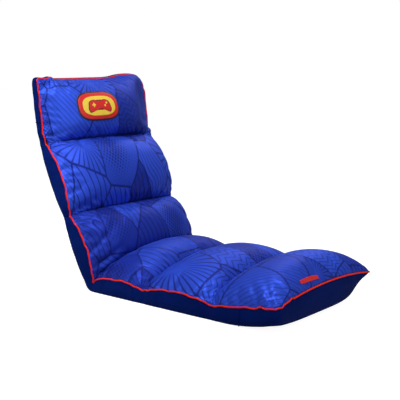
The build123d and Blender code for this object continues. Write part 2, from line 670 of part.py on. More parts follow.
def make_arm(name, side, plan, across):
    """The toothed arm that turns between the cheeks, with a stub for the upper section's tube."""
    with BuildPart() as arm:
        with BuildSketch(side.offset(across - ARM_THICKNESS / 2)):
            with BuildLine():
                draw_bracket(1, HUB_RADIUS)
            make_hull()
            Circle(PIVOT_RADIUS + PIN_CLEARANCE, mode=Mode.SUBTRACT)
            for tooth in range(TOOTH_COUNT):
                start = FIRST_TOOTH_ANGLE + tooth * TOOTH_PITCH_ANGLE
                root = HUB_RADIUS - TOOTH_DEPTH
                with BuildLine():
                    steep = CenterArc((0, 0), HUB_RADIUS + 1, start, TOOTH_PITCH_ANGLE * 0.8)
                    bottom = Vector(root, 0).rotate(Axis.Z, start)
                    Polyline(steep @ 1, bottom, steep @ 0)
                make_face(mode=Mode.SUBTRACT)
        extrude(amount=ARM_THICKNESS)
        add_stub(plan, 1, across)
    save(arm, name)


def make_pin(name, side, across, centre, radius, head_radius, head_thickness):
    """A riveted pin through both cheeks, with a head at each end."""
    reach = ARM_THICKNESS / 2 + CLEARANCE + CHEEK_THICKNESS + CLEARANCE / 3
    with BuildPart() as pin:
        with BuildSketch(side.offset(across - reach)):
            with Locations(centre):
                Circle(radius)
        extrude(amount=2 * reach)
        for first in (across - reach - head_thickness, across + reach):
            with BuildSketch(side.offset(first)):
                with Locations(centre):
                    Circle(head_radius)
            extrude(amount=head_thickness)
    save(pin, name)


def make_pawl(name, side, across):
    """The pawl that drops behind the teeth, shown riding on their crests."""
    with BuildPart() as pawl:
        with BuildSketch(side.offset(across - PAWL_THICKNESS / 2)):
            with BuildLine():
                CenterArc(PAWL_PIN, PAWL_BOSS_RADIUS, 0, 360)
                CenterArc(PAWL_NOSE, PAWL_NOSE_RADIUS, 0, 360)
            make_hull()
            with Locations(PAWL_PIN):
                Circle(PAWL_PIN_RADIUS + PIN_CLEARANCE, mode=Mode.SUBTRACT)
        extrude(amount=PAWL_THICKNESS)
    save(pawl, name)


def make_pawl_spring(name, side, across):
    """The leaf spring that presses the pawl towards the teeth, held by the bracket's block."""
    heel = Vector(BLOCK_LENGTH - BRACKET_REACH, TUBE_HEIGHT)
    nose, pin = Vector(*PAWL_NOSE), Vector(*PAWL_PIN)
    outwards = (nose - pin).normalized().rotate(Axis.Z, -90)
    toe = nose + outwards * (PAWL_NOSE_RADIUS + CLEARANCE + SPRING_THICKNESS / 2) - (PAWL_NOSE_RADIUS, 0)
    middle = (heel + toe) / 2 + outwards * SPRING_SAG
    with BuildPart() as spring:
        with BuildSketch(side.offset(across - SPRING_WIDTH / 2)):
            with BuildLine():
                ThreePointArc(heel, middle, toe)
            trace(line_width=SPRING_THICKNESS)
        extrude(amount=SPRING_WIDTH)
        face = Plane(side.origin + side.x_dir * heel.X, z_dir=side.x_dir)
        split(bisect_by=face, keep=Keep.TOP)
    save(spring, name)


def make_hinge(joint, lower_side, lower_plan, upper_side, upper_plan):
    """One pair of ratchet hinges on a joint's axis."""
    for hand, across in (("right", -HINGE_ACROSS), ("left", HINGE_ACROSS)):
        make_cheeks(f"{joint}_cheeks_{hand}", lower_side, lower_plan, across)
        make_arm(f"{joint}_ratchet_arm_{hand}", upper_side, upper_plan, across)
        make_pin(
            f"{joint}_pivot_pin_{hand}", lower_side, across, (0, 0), PIVOT_RADIUS, PIVOT_HEAD_RADIUS,
            PIVOT_HEAD_THICKNESS,
        )
        make_pawl(f"{joint}_pawl_{hand}", lower_side, across)
        make_pin(
            f"{joint}_pawl_pin_{hand}", lower_side, across, PAWL_PIN, PAWL_PIN_RADIUS, PAWL_HEAD_RADIUS,
            PAWL_HEAD_THICKNESS,
        )
        make_pawl_spring(f"{joint}_pawl_spring_{hand}", lower_side, across)


os.makedirs("parts", exist_ok=True)
make_frame()
make_hinge("recline", SEAT_SIDE, SEAT_PLAN, BACK_SIDE, BACK_PLAN)
make_hinge("neck", NECK_SIDE, plan_plane(NECK_AXIS, BACK_SLOPE_ANGLE), HEAD_SIDE, HEAD_PLAN)
make_seat_cover()
make_back_cover()
make_head_cover()
make_hinge_band("recline_band", SEAT_SIDE, BACK_SLOPE_ANGLE)
make_hinge_band("neck_band", NECK_SIDE, NECK_BEND_ANGLE)
make_seat_foam()
make_back_foam()
make_head_foam()
make_seat_pads()
make_back_pads()
make_head_pad()
make_piping()
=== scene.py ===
# %% [markdown]
# # A folding floor chair, dressed
#
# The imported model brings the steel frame, the hinges and plain solids for the soft parts. This lesson sews
# the soft parts over them: quilted tops, border cloth, piping and a patch. Everything is in metres, +Z is up
# and the chair faces -Y, so a new piece goes where the solids are.

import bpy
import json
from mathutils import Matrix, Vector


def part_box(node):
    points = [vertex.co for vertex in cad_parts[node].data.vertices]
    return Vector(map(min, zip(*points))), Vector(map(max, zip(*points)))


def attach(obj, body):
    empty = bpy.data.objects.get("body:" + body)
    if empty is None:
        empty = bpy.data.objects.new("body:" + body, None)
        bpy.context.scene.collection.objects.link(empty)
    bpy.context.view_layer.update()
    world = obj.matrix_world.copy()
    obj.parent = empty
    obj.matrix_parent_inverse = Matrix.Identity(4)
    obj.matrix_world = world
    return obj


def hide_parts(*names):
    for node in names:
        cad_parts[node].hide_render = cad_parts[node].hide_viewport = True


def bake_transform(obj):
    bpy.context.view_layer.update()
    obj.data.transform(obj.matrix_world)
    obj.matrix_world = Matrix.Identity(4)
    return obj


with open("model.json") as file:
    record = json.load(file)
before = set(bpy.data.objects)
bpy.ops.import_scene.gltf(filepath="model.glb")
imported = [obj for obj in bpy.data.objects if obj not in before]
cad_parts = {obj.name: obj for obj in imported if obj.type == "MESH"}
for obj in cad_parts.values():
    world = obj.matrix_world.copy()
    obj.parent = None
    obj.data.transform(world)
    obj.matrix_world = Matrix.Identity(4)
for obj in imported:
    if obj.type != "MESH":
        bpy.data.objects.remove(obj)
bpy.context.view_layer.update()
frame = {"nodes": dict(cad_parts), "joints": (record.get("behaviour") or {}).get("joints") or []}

# %% [markdown]
# ## The two fold lines
#
# All cloth on the chair follows one long strip that is folded twice: at the recline hinges and at the neck.
# It could be modelled section by section, but then the seams would have to be matched by hand. Reading both
# fold lines from the joints and working in "unfolded" lengths keeps every sewn edge in line with its
# neighbours.

# %% Fold lines and main sizes
import bpy
import json
import numpy as np
from math import atan2, cos, pi, radians, sin, tan
from mathutils import Vector

joints = {joint["name"]: joint for joint in frame["joints"]}
RECLINE = Vector(joints["recline"]["pos_m"])
NECK = Vector(joints["neck_tilt"]["pos_m"])
seat_low, seat_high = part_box("seat_cover")
BACK_LENGTH = (NECK - RECLINE).length
BACK_SLOPE = atan2(NECK.z - RECLINE.z, NECK.y - RECLINE.y)
HEAD_SLOPE = BACK_SLOPE - radians(joints["neck_tilt"]["range_deg"][0])
HINGE_HEIGHT = RECLINE.z
HALF_WIDTH = seat_high.x
FRONT = seat_low.y - RECLINE.y
HEAD_TOP = BACK_LENGTH + 0.231
FRONT_CREASE, REAR_CREASE, BACK_CREASE = -0.512, -0.230, 0.243
print(f"front {FRONT:.3f}, neck {BACK_LENGTH:.3f}, head top {HEAD_TOP:.3f}, half width {HALF_WIDTH:.3f}")


# %% [markdown]
# ## The camera
#
# The photograph is square and was taken from the chair's front right, a little above it, with a long lens.
# The angle, distance and focal length were found by fitting the straight edges of the chair. A camera added
# with its place and rotation is easier to read than one that tracks a target.

# %% Camera
CAMERA_TURN, CAMERA_RISE = radians(-50.69), radians(9.24)
CAMERA_FROM_FOLD = Vector((-2.291, -2.132, 0.758))
SENSOR_WIDTH, FOCAL_LENGTH = 36, 78.6  # in millimetres
towards_camera = Vector(
    (sin(CAMERA_TURN) * cos(CAMERA_RISE), -cos(CAMERA_TURN) * cos(CAMERA_RISE), sin(CAMERA_RISE))
)
bpy.ops.object.select_all(action="DESELECT")
bpy.ops.object.camera_add(
    location=RECLINE + CAMERA_FROM_FOLD,
    rotation=(-towards_camera).to_track_quat("-Z", "Y").to_euler(),
)
camera = bpy.context.object
camera.data.sensor_width = SENSOR_WIDTH
camera.data.lens = FOCAL_LENGTH
bpy.context.scene.camera = camera
print("camera at", tuple(round(v, 3) for v in camera.location))

# %% [markdown]
# ## Floor and light
#
# A white studio: a pale floor, a bright even surround and four large soft lamps. Large lamps give the satin
# cloth broad, soft highlights. A small lamp or the sun would draw hard shadows that the photograph lacks.

# %% Floor and lamps
def by_ray(tree, socket, hidden, shown):
    """Gives a socket one value for the light that bounces and another for what the camera sees."""
    level = tree.nodes.new("ShaderNodeMapRange")
    level.inputs["To Min"].default_value, level.inputs["To Max"].default_value = hidden, shown
    ray = tree.nodes.new("ShaderNodeLightPath")
    tree.links.new(ray.outputs["Is Camera Ray"], level.inputs["Value"])
    tree.links.new(level.outputs["Result"], socket)


bpy.ops.mesh.primitive_plane_add(size=30, location=(0, 0, -0.0005))
floor = bpy.context.object
floor.name = "studio_floor"
floor_finish = bpy.data.materials.new("pale_floor")
floor_finish.use_nodes = True
floor_shader = floor_finish.node_tree.nodes["Principled BSDF"]
floor_shader.inputs["Roughness"].default_value = 0.9
floor_shader.inputs["Emission Color"].default_value = (1, 1, 1, 1)
by_ray(floor_finish.node_tree, floor_shader.inputs["Emission Strength"], 0.0, 0.93)
by_ray(floor_finish.node_tree, floor_shader.inputs["Base Color"], 0.45, 0.35)
floor.data.materials.append(floor_finish)

# name, place, point it is aimed at, size, power in watts and spread of the beam in degrees
LAMPS = (
    ("overhead", (-0.7, -0.4, 2.7), (0, 0, 0.3), 1.3, 56, 180),
    ("front", (-0.6, -3.0, 1.2), (0, 0, 0.3), 1.8, 20, 180),
    ("rim", (1.9, 0.6, 1.9), (0, 0, 0.3), 1.4, 10, 180),
    ("side", (-2.3, 1.1, 1.3), (-0.27, 0.47, 0.56), 1.0, 2.3, 30),
)
for lamp_name, place, target, size, power, spread in LAMPS:
    aim = Vector(target) - Vector(place)
    bpy.ops.object.light_add(type="AREA", location=place, rotation=aim.to_track_quat("-Z", "Y").to_euler())
    lamp = bpy.context.object
    lamp.name = lamp_name + "_lamp"
    lamp.data.shape = "DISK"
    lamp.data.size = size
    lamp.data.energy = power
    lamp.data.spread = radians(spread)

surround = bpy.data.worlds.new("white_surround")
bpy.context.scene.world = surround
surround.use_nodes = True
background = surround.node_tree.nodes["Background"]
background.inputs["Color"].default_value = (1, 1, 1, 1)
by_ray(surround.node_tree, background.inputs["Strength"], 0.23, 1.0)
bpy.context.scene.view_settings.view_transform = "Standard"
print("lamps:", len(LAMPS))


# %% [markdown]
# ## Short ways to wire a finish
#
# Every finish below is a Principled shader with textures wired into it. Adding and linking nodes one by one
# takes many lines, so this small class keeps a material and adds nodes to it in one call each. Constants that
# are the same all over are set on the shader itself.

# %% A helper for finishes
class Finish:
    """A material with a Principled shader, and short ways to add nodes to it."""

    def __init__(self, name, constants):
        self.material = bpy.data.materials.new(name)
        self.material.use_nodes = True
        self.tree = self.material.node_tree
        self.shader = self.tree.nodes["Principled BSDF"]
        for socket, value in constants.items():
            self.shader.inputs[socket].default_value = value

    def wire(self, value, socket):
        if isinstance(value, bpy.types.NodeSocket):
            self.tree.links.new(value, socket)
        else:
            socket.default_value = value

    def add(self, kind, output=0, settings=None, **values):
        node = self.tree.nodes.new("ShaderNode" + kind)
        for key, value in (settings or {}).items():
            setattr(node, key, value)
        for key, value in values.items():
            self.wire(value, node.inputs[int(key[1:]) if key[0] == "i" and key[1:].isdigit() else key])
        return node.outputs[output]

    def math(self, operation, first, second=0.5, third=0.5):
        return self.add("Math", settings={"operation": operation}, i0=first, i1=second, i2=third)

    def vector(self, operation, first, second=(0, 0, 0), output=0):
        return self.add("VectorMath", output, {"operation": operation}, i0=first, i1=second)

    def step(self, value, low, high, to_low=0.0, to_high=1.0):
        settings = {"interpolation_type": "SMOOTHSTEP"}
        return self.add("MapRange", settings=settings, i0=value, i1=low, i2=high, i3=to_low, i4=to_high)

    def mix(self, share, first, second):
        node = self.tree.nodes.new("ShaderNodeMix")
        node.data_type = "RGBA"
        for value, index in ((share, 0), (first, 6), (second, 7)):
            self.wire(value, node.inputs[index])
        return node.outputs[2]

    def noise(self, place, scale, detail=3.0, roughness=0.5, distortion=0.0):
        values = {"Scale": scale, "Detail": detail, "Roughness": roughness, "Distortion": distortion}
        return self.add("TexNoise", Vector=place, **values)

    def bump(self, height, strength, distance):
        return self.add("Bump", Height=height, Strength=strength, Distance=distance)

    def object_place(self):
        return self.add("TexCoord", output=3)

    def set(self, **sockets):
        for socket, value in sockets.items():
            self.wire(value, self.shader.inputs[socket.replace("_", " ").title()])


def colour(red, green, blue):
    """A colour from its 0 to 255 screen values, as the shader wants it."""
    shares = (red / 255, green / 255, blue / 255)
    return (*(((v + 0.055) / 1.055) ** 2.4 if v > 0.04045 else v / 12.92 for v in shares), 1.0)


def dress(piece, finish):
    """Gives a piece one finish and no other."""
    piece.data.materials.clear()
    piece.data.materials.append(finish.material)


print("finish helper ready")

# %% [markdown]
# ## Where a point of the cloth lies
#
# A place on the chair is given by its length along the unfolded strip (0 at the recline fold), its height
# above the strip and its distance across. One function turns these into a point in space. At the two folds
# the slope changes, so a row that lies exactly on a fold takes the slope between.

# %% From the unfolded strip to space
TINY = 1e-6
FOLDS = (0.0, BACK_LENGTH)


def slope_at(unfolded):
    slope = np.where(unfolded > TINY, BACK_SLOPE, 0.0)
    slope = np.where(np.abs(unfolded) <= TINY, BACK_SLOPE / 2, slope)
    slope = np.where(unfolded > BACK_LENGTH + TINY, HEAD_SLOPE, slope)
    return np.where(np.abs(unfolded - BACK_LENGTH) <= TINY, (BACK_SLOPE + HEAD_SLOPE) / 2, slope)


def on_chair(unfolded, height, across, origin, slope=None):
    """Points in space; origin is the place on the strip that tells which section a point belongs to."""
    slope = slope_at(origin) if slope is None else slope
    above_neck = origin >= BACK_LENGTH - TINY
    along = np.where(above_neck, unfolded - BACK_LENGTH, unfolded)
    y = np.where(above_neck, NECK.y, RECLINE.y) + along * np.cos(slope) - height * np.sin(slope)
    z = np.where(above_neck, NECK.z, RECLINE.z) + along * np.sin(slope) + height * np.cos(slope)
    return np.stack((across, y, z), axis=-1)


print("folds at", tuple(round(fold, 3) for fold in FOLDS))

# %% [markdown]
# ## The channels and the sewn edge
#
# Sewn creases divide the strip into six channels. The table gives where each begins and ends, how high its
# padding stands, and how high the border's top edge runs: low at a crease, where the thread draws it down,
# and higher in the middle of a channel. The edge also wanders a little, because a soft seam is never straight.

# %% Channel table and edge line
# start, end, crown, edge at the start, in the middle and at the end, how square its shoulders are, and how
# blunt the right and the left shoulder
SEAT_CHANNELS = (
    (FRONT, FRONT_CREASE, 0.130, 0.045, 0.027, 0.008, 2.6, 0.62, 0.48),
    (FRONT_CREASE, REAR_CREASE, 0.114, 0.008, 0.028, 0.003, 2.4, 0.74, 0.50),
    (REAR_CREASE, 0.0, 0.112, 0.003, 0.024, -0.006, 2.4, 0.74, 0.46),
)
BACK_CHANNELS = (
    (0.0, BACK_CREASE, 0.098, -0.006, 0.024, -0.012, 2.7, 0.58, 0.58),
    (BACK_CREASE, BACK_LENGTH, 0.094, -0.012, 0.020, -0.012, 2.6, 0.56, 0.62),
)
HEAD_CHANNELS = ((BACK_LENGTH, HEAD_TOP, 0.074, -0.014, -0.016, -0.018, 2.2, 0.70, 1.15),)
CHANNELS = SEAT_CHANNELS + BACK_CHANNELS + HEAD_CHANNELS
CREASES = np.array([channel[0] for channel in CHANNELS[1:]])
CREASE_HEIGHT, FOLD_HEIGHT = 0.036, 0.034

# how steeply the edge line arches, and how steeply it drops into the recline fold
STEEPNESS, FOLD_STEEPNESS = 0.75, 0.35
line_places, line_heights = [], []
for start, end, _, first, middle, last, *_ in CHANNELS:
    share = np.linspace(0, 1, 60)
    power = STEEPNESS + ((FOLD_STEEPNESS if start == REAR_CREASE else STEEPNESS) - STEEPNESS) * share
    arch = (4 * share * (1 - share)) ** power
    line_places.append(start + (end - start) * share)
    line_heights.append(first + (last - first) * share + (middle - (first + last) / 2) * arch)
line_places, line_heights = np.concatenate(line_places), np.concatenate(line_heights)

FRONT_ARCH, HEAD_SAG = 0.0225, 0.008
RIPPLE, CREASE_RIPPLE, FOLD_RIPPLE = 0.0010, 0.0012, 0.0018


def near_crease(unfolded, reach):
    """1 on a crease, falling to 0 within the reach."""
    gap = np.abs(np.asarray(unfolded)[..., None] - CREASES).min(axis=-1)
    return np.exp(-((gap / reach) ** 2))


def bumps(place, *places_and_sizes):
    """A few single kinks in a sewn edge: their place, width and height in metres."""
    return sum(size * np.exp(-(((place - at) / width) ** 2)) for at, width, size in places_and_sizes)


def wander(unfolded, share):
    """How far the sewn edge strays, in metres, different on the two sides."""
    phase = np.where(share < 0, 0.0, 1.9)
    turns = unfolded * 2 * pi
    ripple = np.sin(turns / 0.083 + phase) + 0.7 * np.sin(turns / 0.047 + 2.3 * phase + 1.0)
    on_fold = np.exp(-(((unfolded - 0.085) / 0.06) ** 2)) * np.sin(turns / 0.034 + phase)
    on_crease = near_crease(unfolded, 0.05) * np.sin(turns / 0.031 + phase)
    kinks = bumps(unfolded, (FRONT + 0.055, 0.009, 0.006), (HEAD_TOP - 0.045, 0.008, -0.003))
    return np.abs(share) ** 8 * (RIPPLE * ripple + CREASE_RIPPLE * on_crease + FOLD_RIPPLE * on_fold + kinks)


def edge_height(unfolded, share):
    line = np.interp(unfolded, line_places, line_heights) + wander(unfolded, share)
    from_front = np.clip(unfolded - FRONT, 0, None)
    kinks = bumps(share * HALF_WIDTH, (-0.239, 0.007, -0.006), (-0.188, 0.006, 0.006))
    arch = FRONT_ARCH * (1 - share**2) + kinks
    return line + 0.005 * share * np.exp(-from_front / 0.12) + arch * np.exp(-from_front / 0.05)


def edge_across(unfolded, share):
    on_back = np.exp(-(((unfolded - BACK_LENGTH / 2) / 0.24) ** 4))
    drawn_in = 0.006 * near_crease(unfolded, 0.022) + 0.005 * on_back * (share > 0)
    return HALF_WIDTH - drawn_in + 0.7 * wander(unfolded + 0.3, share)


print("channels:", len(CHANNELS), "creases at", CREASES.round(3))

# %% [markdown]
# ## Rounded corners
#
# The four corners of the strip are sewn round, each a little differently. A square grid maps onto a rounded
# one by moving the points of the corner's square onto a quarter disc, which keeps the grid whole. The tops,
# the border and the piping all go through this one function, so their corners agree.

# %% Corner rounding
# end of the strip, direction into the strip, radius on the right side and on the left side of the sitter
CORNERS = ((FRONT, 1, (0.024, 0.008)), (HEAD_TOP, -1, (0.010, 0.065)))
EAR, EAR_REACH = 0.008, 0.035
HEAD_RISE, RISE_AT, RISE_WIDTH = 0.013, 0.110, 0.018


def round_corners(unfolded, across, inset=0.0, half_width=HALF_WIDTH):
    """Rounds the corners, pulls the front left one out into an ear and lets the head's top edge sag."""
    for end, inward, radii in CORNERS:
        for side, radius in zip((-1, 1), radii):
            radius = radius + inset
            p = 1 - ((unfolded - end) * inward - inset) / radius
            q = 1 - (half_width - across * side) / radius
            inside = (p > 0) & (q > 0)
            p, q = np.clip(p, 0, 1), np.clip(q, 0, 1)
            round_p, round_q = p * np.sqrt(1 - q * q / 2), q * np.sqrt(1 - p * p / 2)
            unfolded = np.where(inside, end + inward * (inset + radius * (1 - round_p)), unfolded)
            across = np.where(inside, side * (half_width - radius * (1 - round_q)), across)
    ear = EAR * np.exp(-(((unfolded - FRONT) / EAR_REACH) ** 2 + ((across - HALF_WIDTH) / EAR_REACH) ** 2))
    unfolded, across = unfolded - ear, across + ear
    rise = HEAD_RISE / (1 + np.exp(-(across - RISE_AT) / RISE_WIDTH))
    sag = (rise - HEAD_SAG) * (1 - (across / HALF_WIDTH) ** 8) + bumps(across, (-0.211, 0.012, 0.008))
    return unfolded + sag * np.exp(-np.clip(HEAD_TOP - unfolded, 0, None) / 0.035), across


print("corners:", 2 * len(CORNERS))


# %% [markdown]
# ## Short ways to handle a mesh
#
# The tops, the border and the patch all start as a flat grid, whose points are then moved to their places and
# which gets a modifier or two. These helpers keep those steps in one place.

# %% Helpers for meshes
def new_grid(name, columns, rows, size=1):
    bpy.ops.object.select_all(action="DESELECT")
    bpy.ops.mesh.primitive_grid_add(x_subdivisions=columns, y_subdivisions=rows, size=size, location=(0, 0, 0))
    piece = bpy.context.object
    piece.name = piece.data.name = name
    return piece


def points_of(piece):
    points = np.empty(len(piece.data.vertices) * 3)
    piece.data.vertices.foreach_get("co", points)
    return points.reshape(-1, 3)


def move_points(piece, places):
    piece.data.vertices.foreach_set("co", places.ravel())
    piece.data.update()


def face_outwards():
    bpy.ops.object.mode_set(mode="EDIT")
    bpy.ops.mesh.select_all(action="SELECT")
    bpy.ops.mesh.normals_make_consistent(inside=False)
    bpy.ops.object.mode_set(mode="OBJECT")


def apply_modifier(kind, **settings):
    """Adds a modifier to the active piece, sets it up and applies it."""
    bpy.ops.object.modifier_add(type=kind)
    modifier = bpy.context.object.modifiers[-1]
    for key, value in settings.items():
        setattr(modifier, key, value)
    bpy.ops.object.modifier_apply(modifier=modifier.name)


print("mesh helpers ready")

# %% [markdown]
# ## The quilted tops: a grid on the crowned channels
#
# A stuffed channel is a roll of wadding under cloth that is sewn down on all sides. It could be sculpted,
# but a grid whose rows follow the roll gives even quads, keeps its UV map for the print and is ready for cloth
# simulation. The grid's rim is extruded down and closed, so that the top is a solid pad.

# %% A closed grid for one top
COLUMNS, ROWS = 124, 46


def select_edges(mesh, wanted):
    """Selects the edges whose two end points both satisfy the test."""
    for item in (*mesh.vertices, *mesh.edges, *mesh.polygons):
        item.select = False
    for edge in mesh.edges:
        edge.select = all(wanted(mesh.vertices[i].co) for i in edge.vertices)


def closed_grid(name, rows):
    """A unit grid with a rim extruded down to z = -1, a bottom bridged from side to side and filled ends."""
    piece = new_grid(name, COLUMNS, rows)
    bpy.ops.object.mode_set(mode="EDIT")
    bpy.ops.mesh.select_mode(type="EDGE")
    bpy.ops.mesh.select_all(action="SELECT")
    bpy.ops.mesh.region_to_loop()
    bpy.ops.mesh.extrude_region_move(TRANSFORM_OT_translate={"value": (0, 0, -1)})
    bpy.ops.object.mode_set(mode="OBJECT")
    inner = 0.5 - 0.5 / rows
    select_edges(piece.data, lambda co: co.z < -0.5 and abs(co.x) > 0.4999 and abs(co.y) < inner)
    bpy.ops.object.mode_set(mode="EDIT")
    bpy.ops.mesh.bridge_edge_loops()
    for end in (-1, 1):
        bpy.ops.mesh.select_non_manifold(
            extend=False, use_wire=False, use_multi_face=False, use_non_contiguous=False, use_verts=False
        )
        bpy.ops.object.mode_set(mode="OBJECT")
        for edge in piece.data.edges:
            edge.select = edge.select and end * piece.data.vertices[edge.vertices[0]].co.y > 0
        for vertex in piece.data.vertices:
            vertex.select = False
        bpy.ops.object.mode_set(mode="EDIT")
        bpy.ops.mesh.edge_face_add()
    face_outwards()
    print(f"{name}: grid of {len(piece.data.polygons)} faces")
    return piece


# %% [markdown]
# ## The crowned shape of a channel
#
# Along the chair a channel is close to half an ellipse, steep at the creases. Across the chair it stays level
# and then falls over a soft shoulder to the piping. At a fold two rolls press on each other, so no point may
# pass the plane that halves the fold.

# %% Curve across a channel and the fold planes
SHOULDER, FLATNESS = 0.72, 0.52
FOLD_GAP, FOLD_ZONE = 0.0004, 0.25

turn = np.linspace(-pi / 2, pi / 2, 2001)
turn_across = np.sign(turn) * np.abs(np.sin(turn)) ** SHOULDER
turn_lift = np.cos(turn).clip(0) ** FLATNESS
turn_steps = np.hypot(np.diff(turn_across) * HALF_WIDTH, np.diff(turn_lift) * 0.075)
turn_length = np.concatenate(([0], turn_steps.cumsum()))
ACROSS_LENGTH = turn_length[-1]


def keep_off_folds(unfolded, height, origin):
    """Moves points back from the planes that halve the folds; origin tells on which side a point belongs."""
    for fold, bend in ((FOLDS[0], BACK_SLOPE), (FOLDS[1], HEAD_SLOPE - BACK_SLOPE)):
        reach = tan(bend / 2) * np.maximum(height, 0) + FOLD_GAP
        below = (origin < fold - TINY) & (origin > fold - FOLD_ZONE)
        above = (origin > fold + TINY) & (origin < fold + FOLD_ZONE)
        unfolded = np.where(below, np.minimum(unfolded, fold - reach), unfolded)
        unfolded = np.where(above, np.maximum(unfolded, fold + reach), unfolded)
    return unfolded


print(f"cloth across a channel {ACROSS_LENGTH:.3f} m")

# %% [markdown]
# ## Puckers and drag folds
#
# Cloth that is gathered into a seam stands up in small puckers beside it, and a tug at a corner draws longer
# folds. A short simulation would only swell the cloth, and folds sculpted by hand are hard to change. Here
# both are heights that are added to the grid, so they stay beside their seams.

# %% Puckers and drag folds
GATHER_HEIGHT = 0.0042


def slow_wave(place, pitch):
    """Ripples whose spacing and size drift."""
    drift = place + 0.3 * pitch * np.sin(place * 2 * pi / (4.1 * pitch))
    return np.sin(drift * 2 * pi / pitch) * (0.65 + 0.35 * np.sin(place * 2 * pi / (6.7 * pitch)))


def gathers(unfolded, share):
    """Height of the small puckers where the cloth is gathered into a seam."""
    seams = np.concatenate((CREASES, (FRONT, HEAD_TOP)))
    gap = np.abs(unfolded[..., None] - seams).min(axis=-1)
    crease = np.exp(-gap / 0.024) * np.clip(gap / 0.008, 0, 1)
    at_end = (unfolded < FRONT + 0.08) | (unfolded > HEAD_TOP - 0.08)
    crease = crease * np.where(at_end, np.clip(-2 * share - 0.6, 0.12, 1), 1)
    side_gap = (1 - np.abs(share)) * HALF_WIDTH
    side = np.exp(-side_gap / 0.030) * np.clip(side_gap / 0.008, 0, 1)
    side = side * np.where(share < 0, 1.3, 0.3)
    crease_ripples = crease * slow_wave(share * HALF_WIDTH + unfolded, 0.030)
    return GATHER_HEIGHT * (crease_ripples + side * slow_wave(unfolded + 0.1 * share, 0.032))


# ends of each fold as place across and unfolded place, then its width and depth; all near the right side
DRAG_FOLDS = (
    (-0.262, 0.045, -0.110, 0.105, 0.014, 0.014),
    (-0.262, 0.100, -0.155, 0.165, 0.011, 0.010),
    (-0.225, 0.190, -0.180, 0.055, 0.011, 0.010),
    (-0.265, 0.252, -0.120, 0.292, 0.014, 0.013),
    (-0.262, 0.310, -0.175, 0.350, 0.010, 0.006),
    (-0.262, 0.535, -0.120, 0.565, 0.012, 0.007),
    (-0.250, 0.715, -0.190, 0.640, 0.010, 0.005),
    (-0.258, -0.735, -0.185, -0.655, 0.010, 0.007),
    (-0.262, -0.690, -0.195, -0.610, 0.009, 0.005),
    (-0.262, -0.505, -0.150, -0.440, 0.013, 0.007),
    (-0.262, -0.225, -0.140, -0.165, 0.012, 0.006),
)


def drag_folds(unfolded, across):
    """Depth of the longer folds that run in from the seams; on the left they are shallower."""
    depth = 0.0
    for side, shift, strength in ((1, 0.0, 1.0), (-1, 0.022, 0.5)):
        for x0, u0, x1, u1, width, deep in DRAG_FOLDS:
            run = np.array((x1 - x0, u1 - u0))
            x, u = across * side - x0, unfolded - shift - u0
            share = np.clip((x * run[0] + u * run[1]) / (run @ run), 0, 1)
            gap = np.hypot(x - share * run[0], u - share * run[1])
            narrow = np.exp(-((gap / (width * (0.6 + 0.6 * share))) ** 2))
            depth = depth + strength * deep * (1 - share) ** 0.7 * narrow
    return depth


print("drag folds:", 2 * len(DRAG_FOLDS))

# %% [markdown]
# ## Laying the grid on its channels
#
# The crowns, shoulders and folds now come together in one function that gives the place of every point of the
# grid. At both folds the pad also has to cover the hinges, and its flat bottom rises there to clear the pawls.

# %% Crowned surface
CREASE_SQUARE, CREASE_BLUNT = 3.2, 0.45
CREASE_RISE = 0.008
FRONT_FULLNESS, FULLNESS = 0.74, 0.92
# the lid over a hinge: its height, the share across where it ends, how it drops and how softly it joins the pad
HINGE_LID, HINGE_LID_END, HINGE_LID_DROP, LID_BLEND = 0.0258, 0.924, 1.3, 0.005


def seam_height(place, across):
    """Height of the seam at one end of a channel: the border's edge at the ends of the chair, else a crease."""
    height = np.where(np.isin(place, FOLDS), FOLD_HEIGHT, CREASE_HEIGHT)
    on_seat = np.isin(place, (FRONT_CREASE, REAR_CREASE))
    height = np.where(on_seat, height + CREASE_RISE * np.clip(across, 0, 1), height)
    at_end = (place <= FRONT + TINY) | (place >= HEAD_TOP - TINY)
    return np.where(at_end, edge_height(place, across), height)


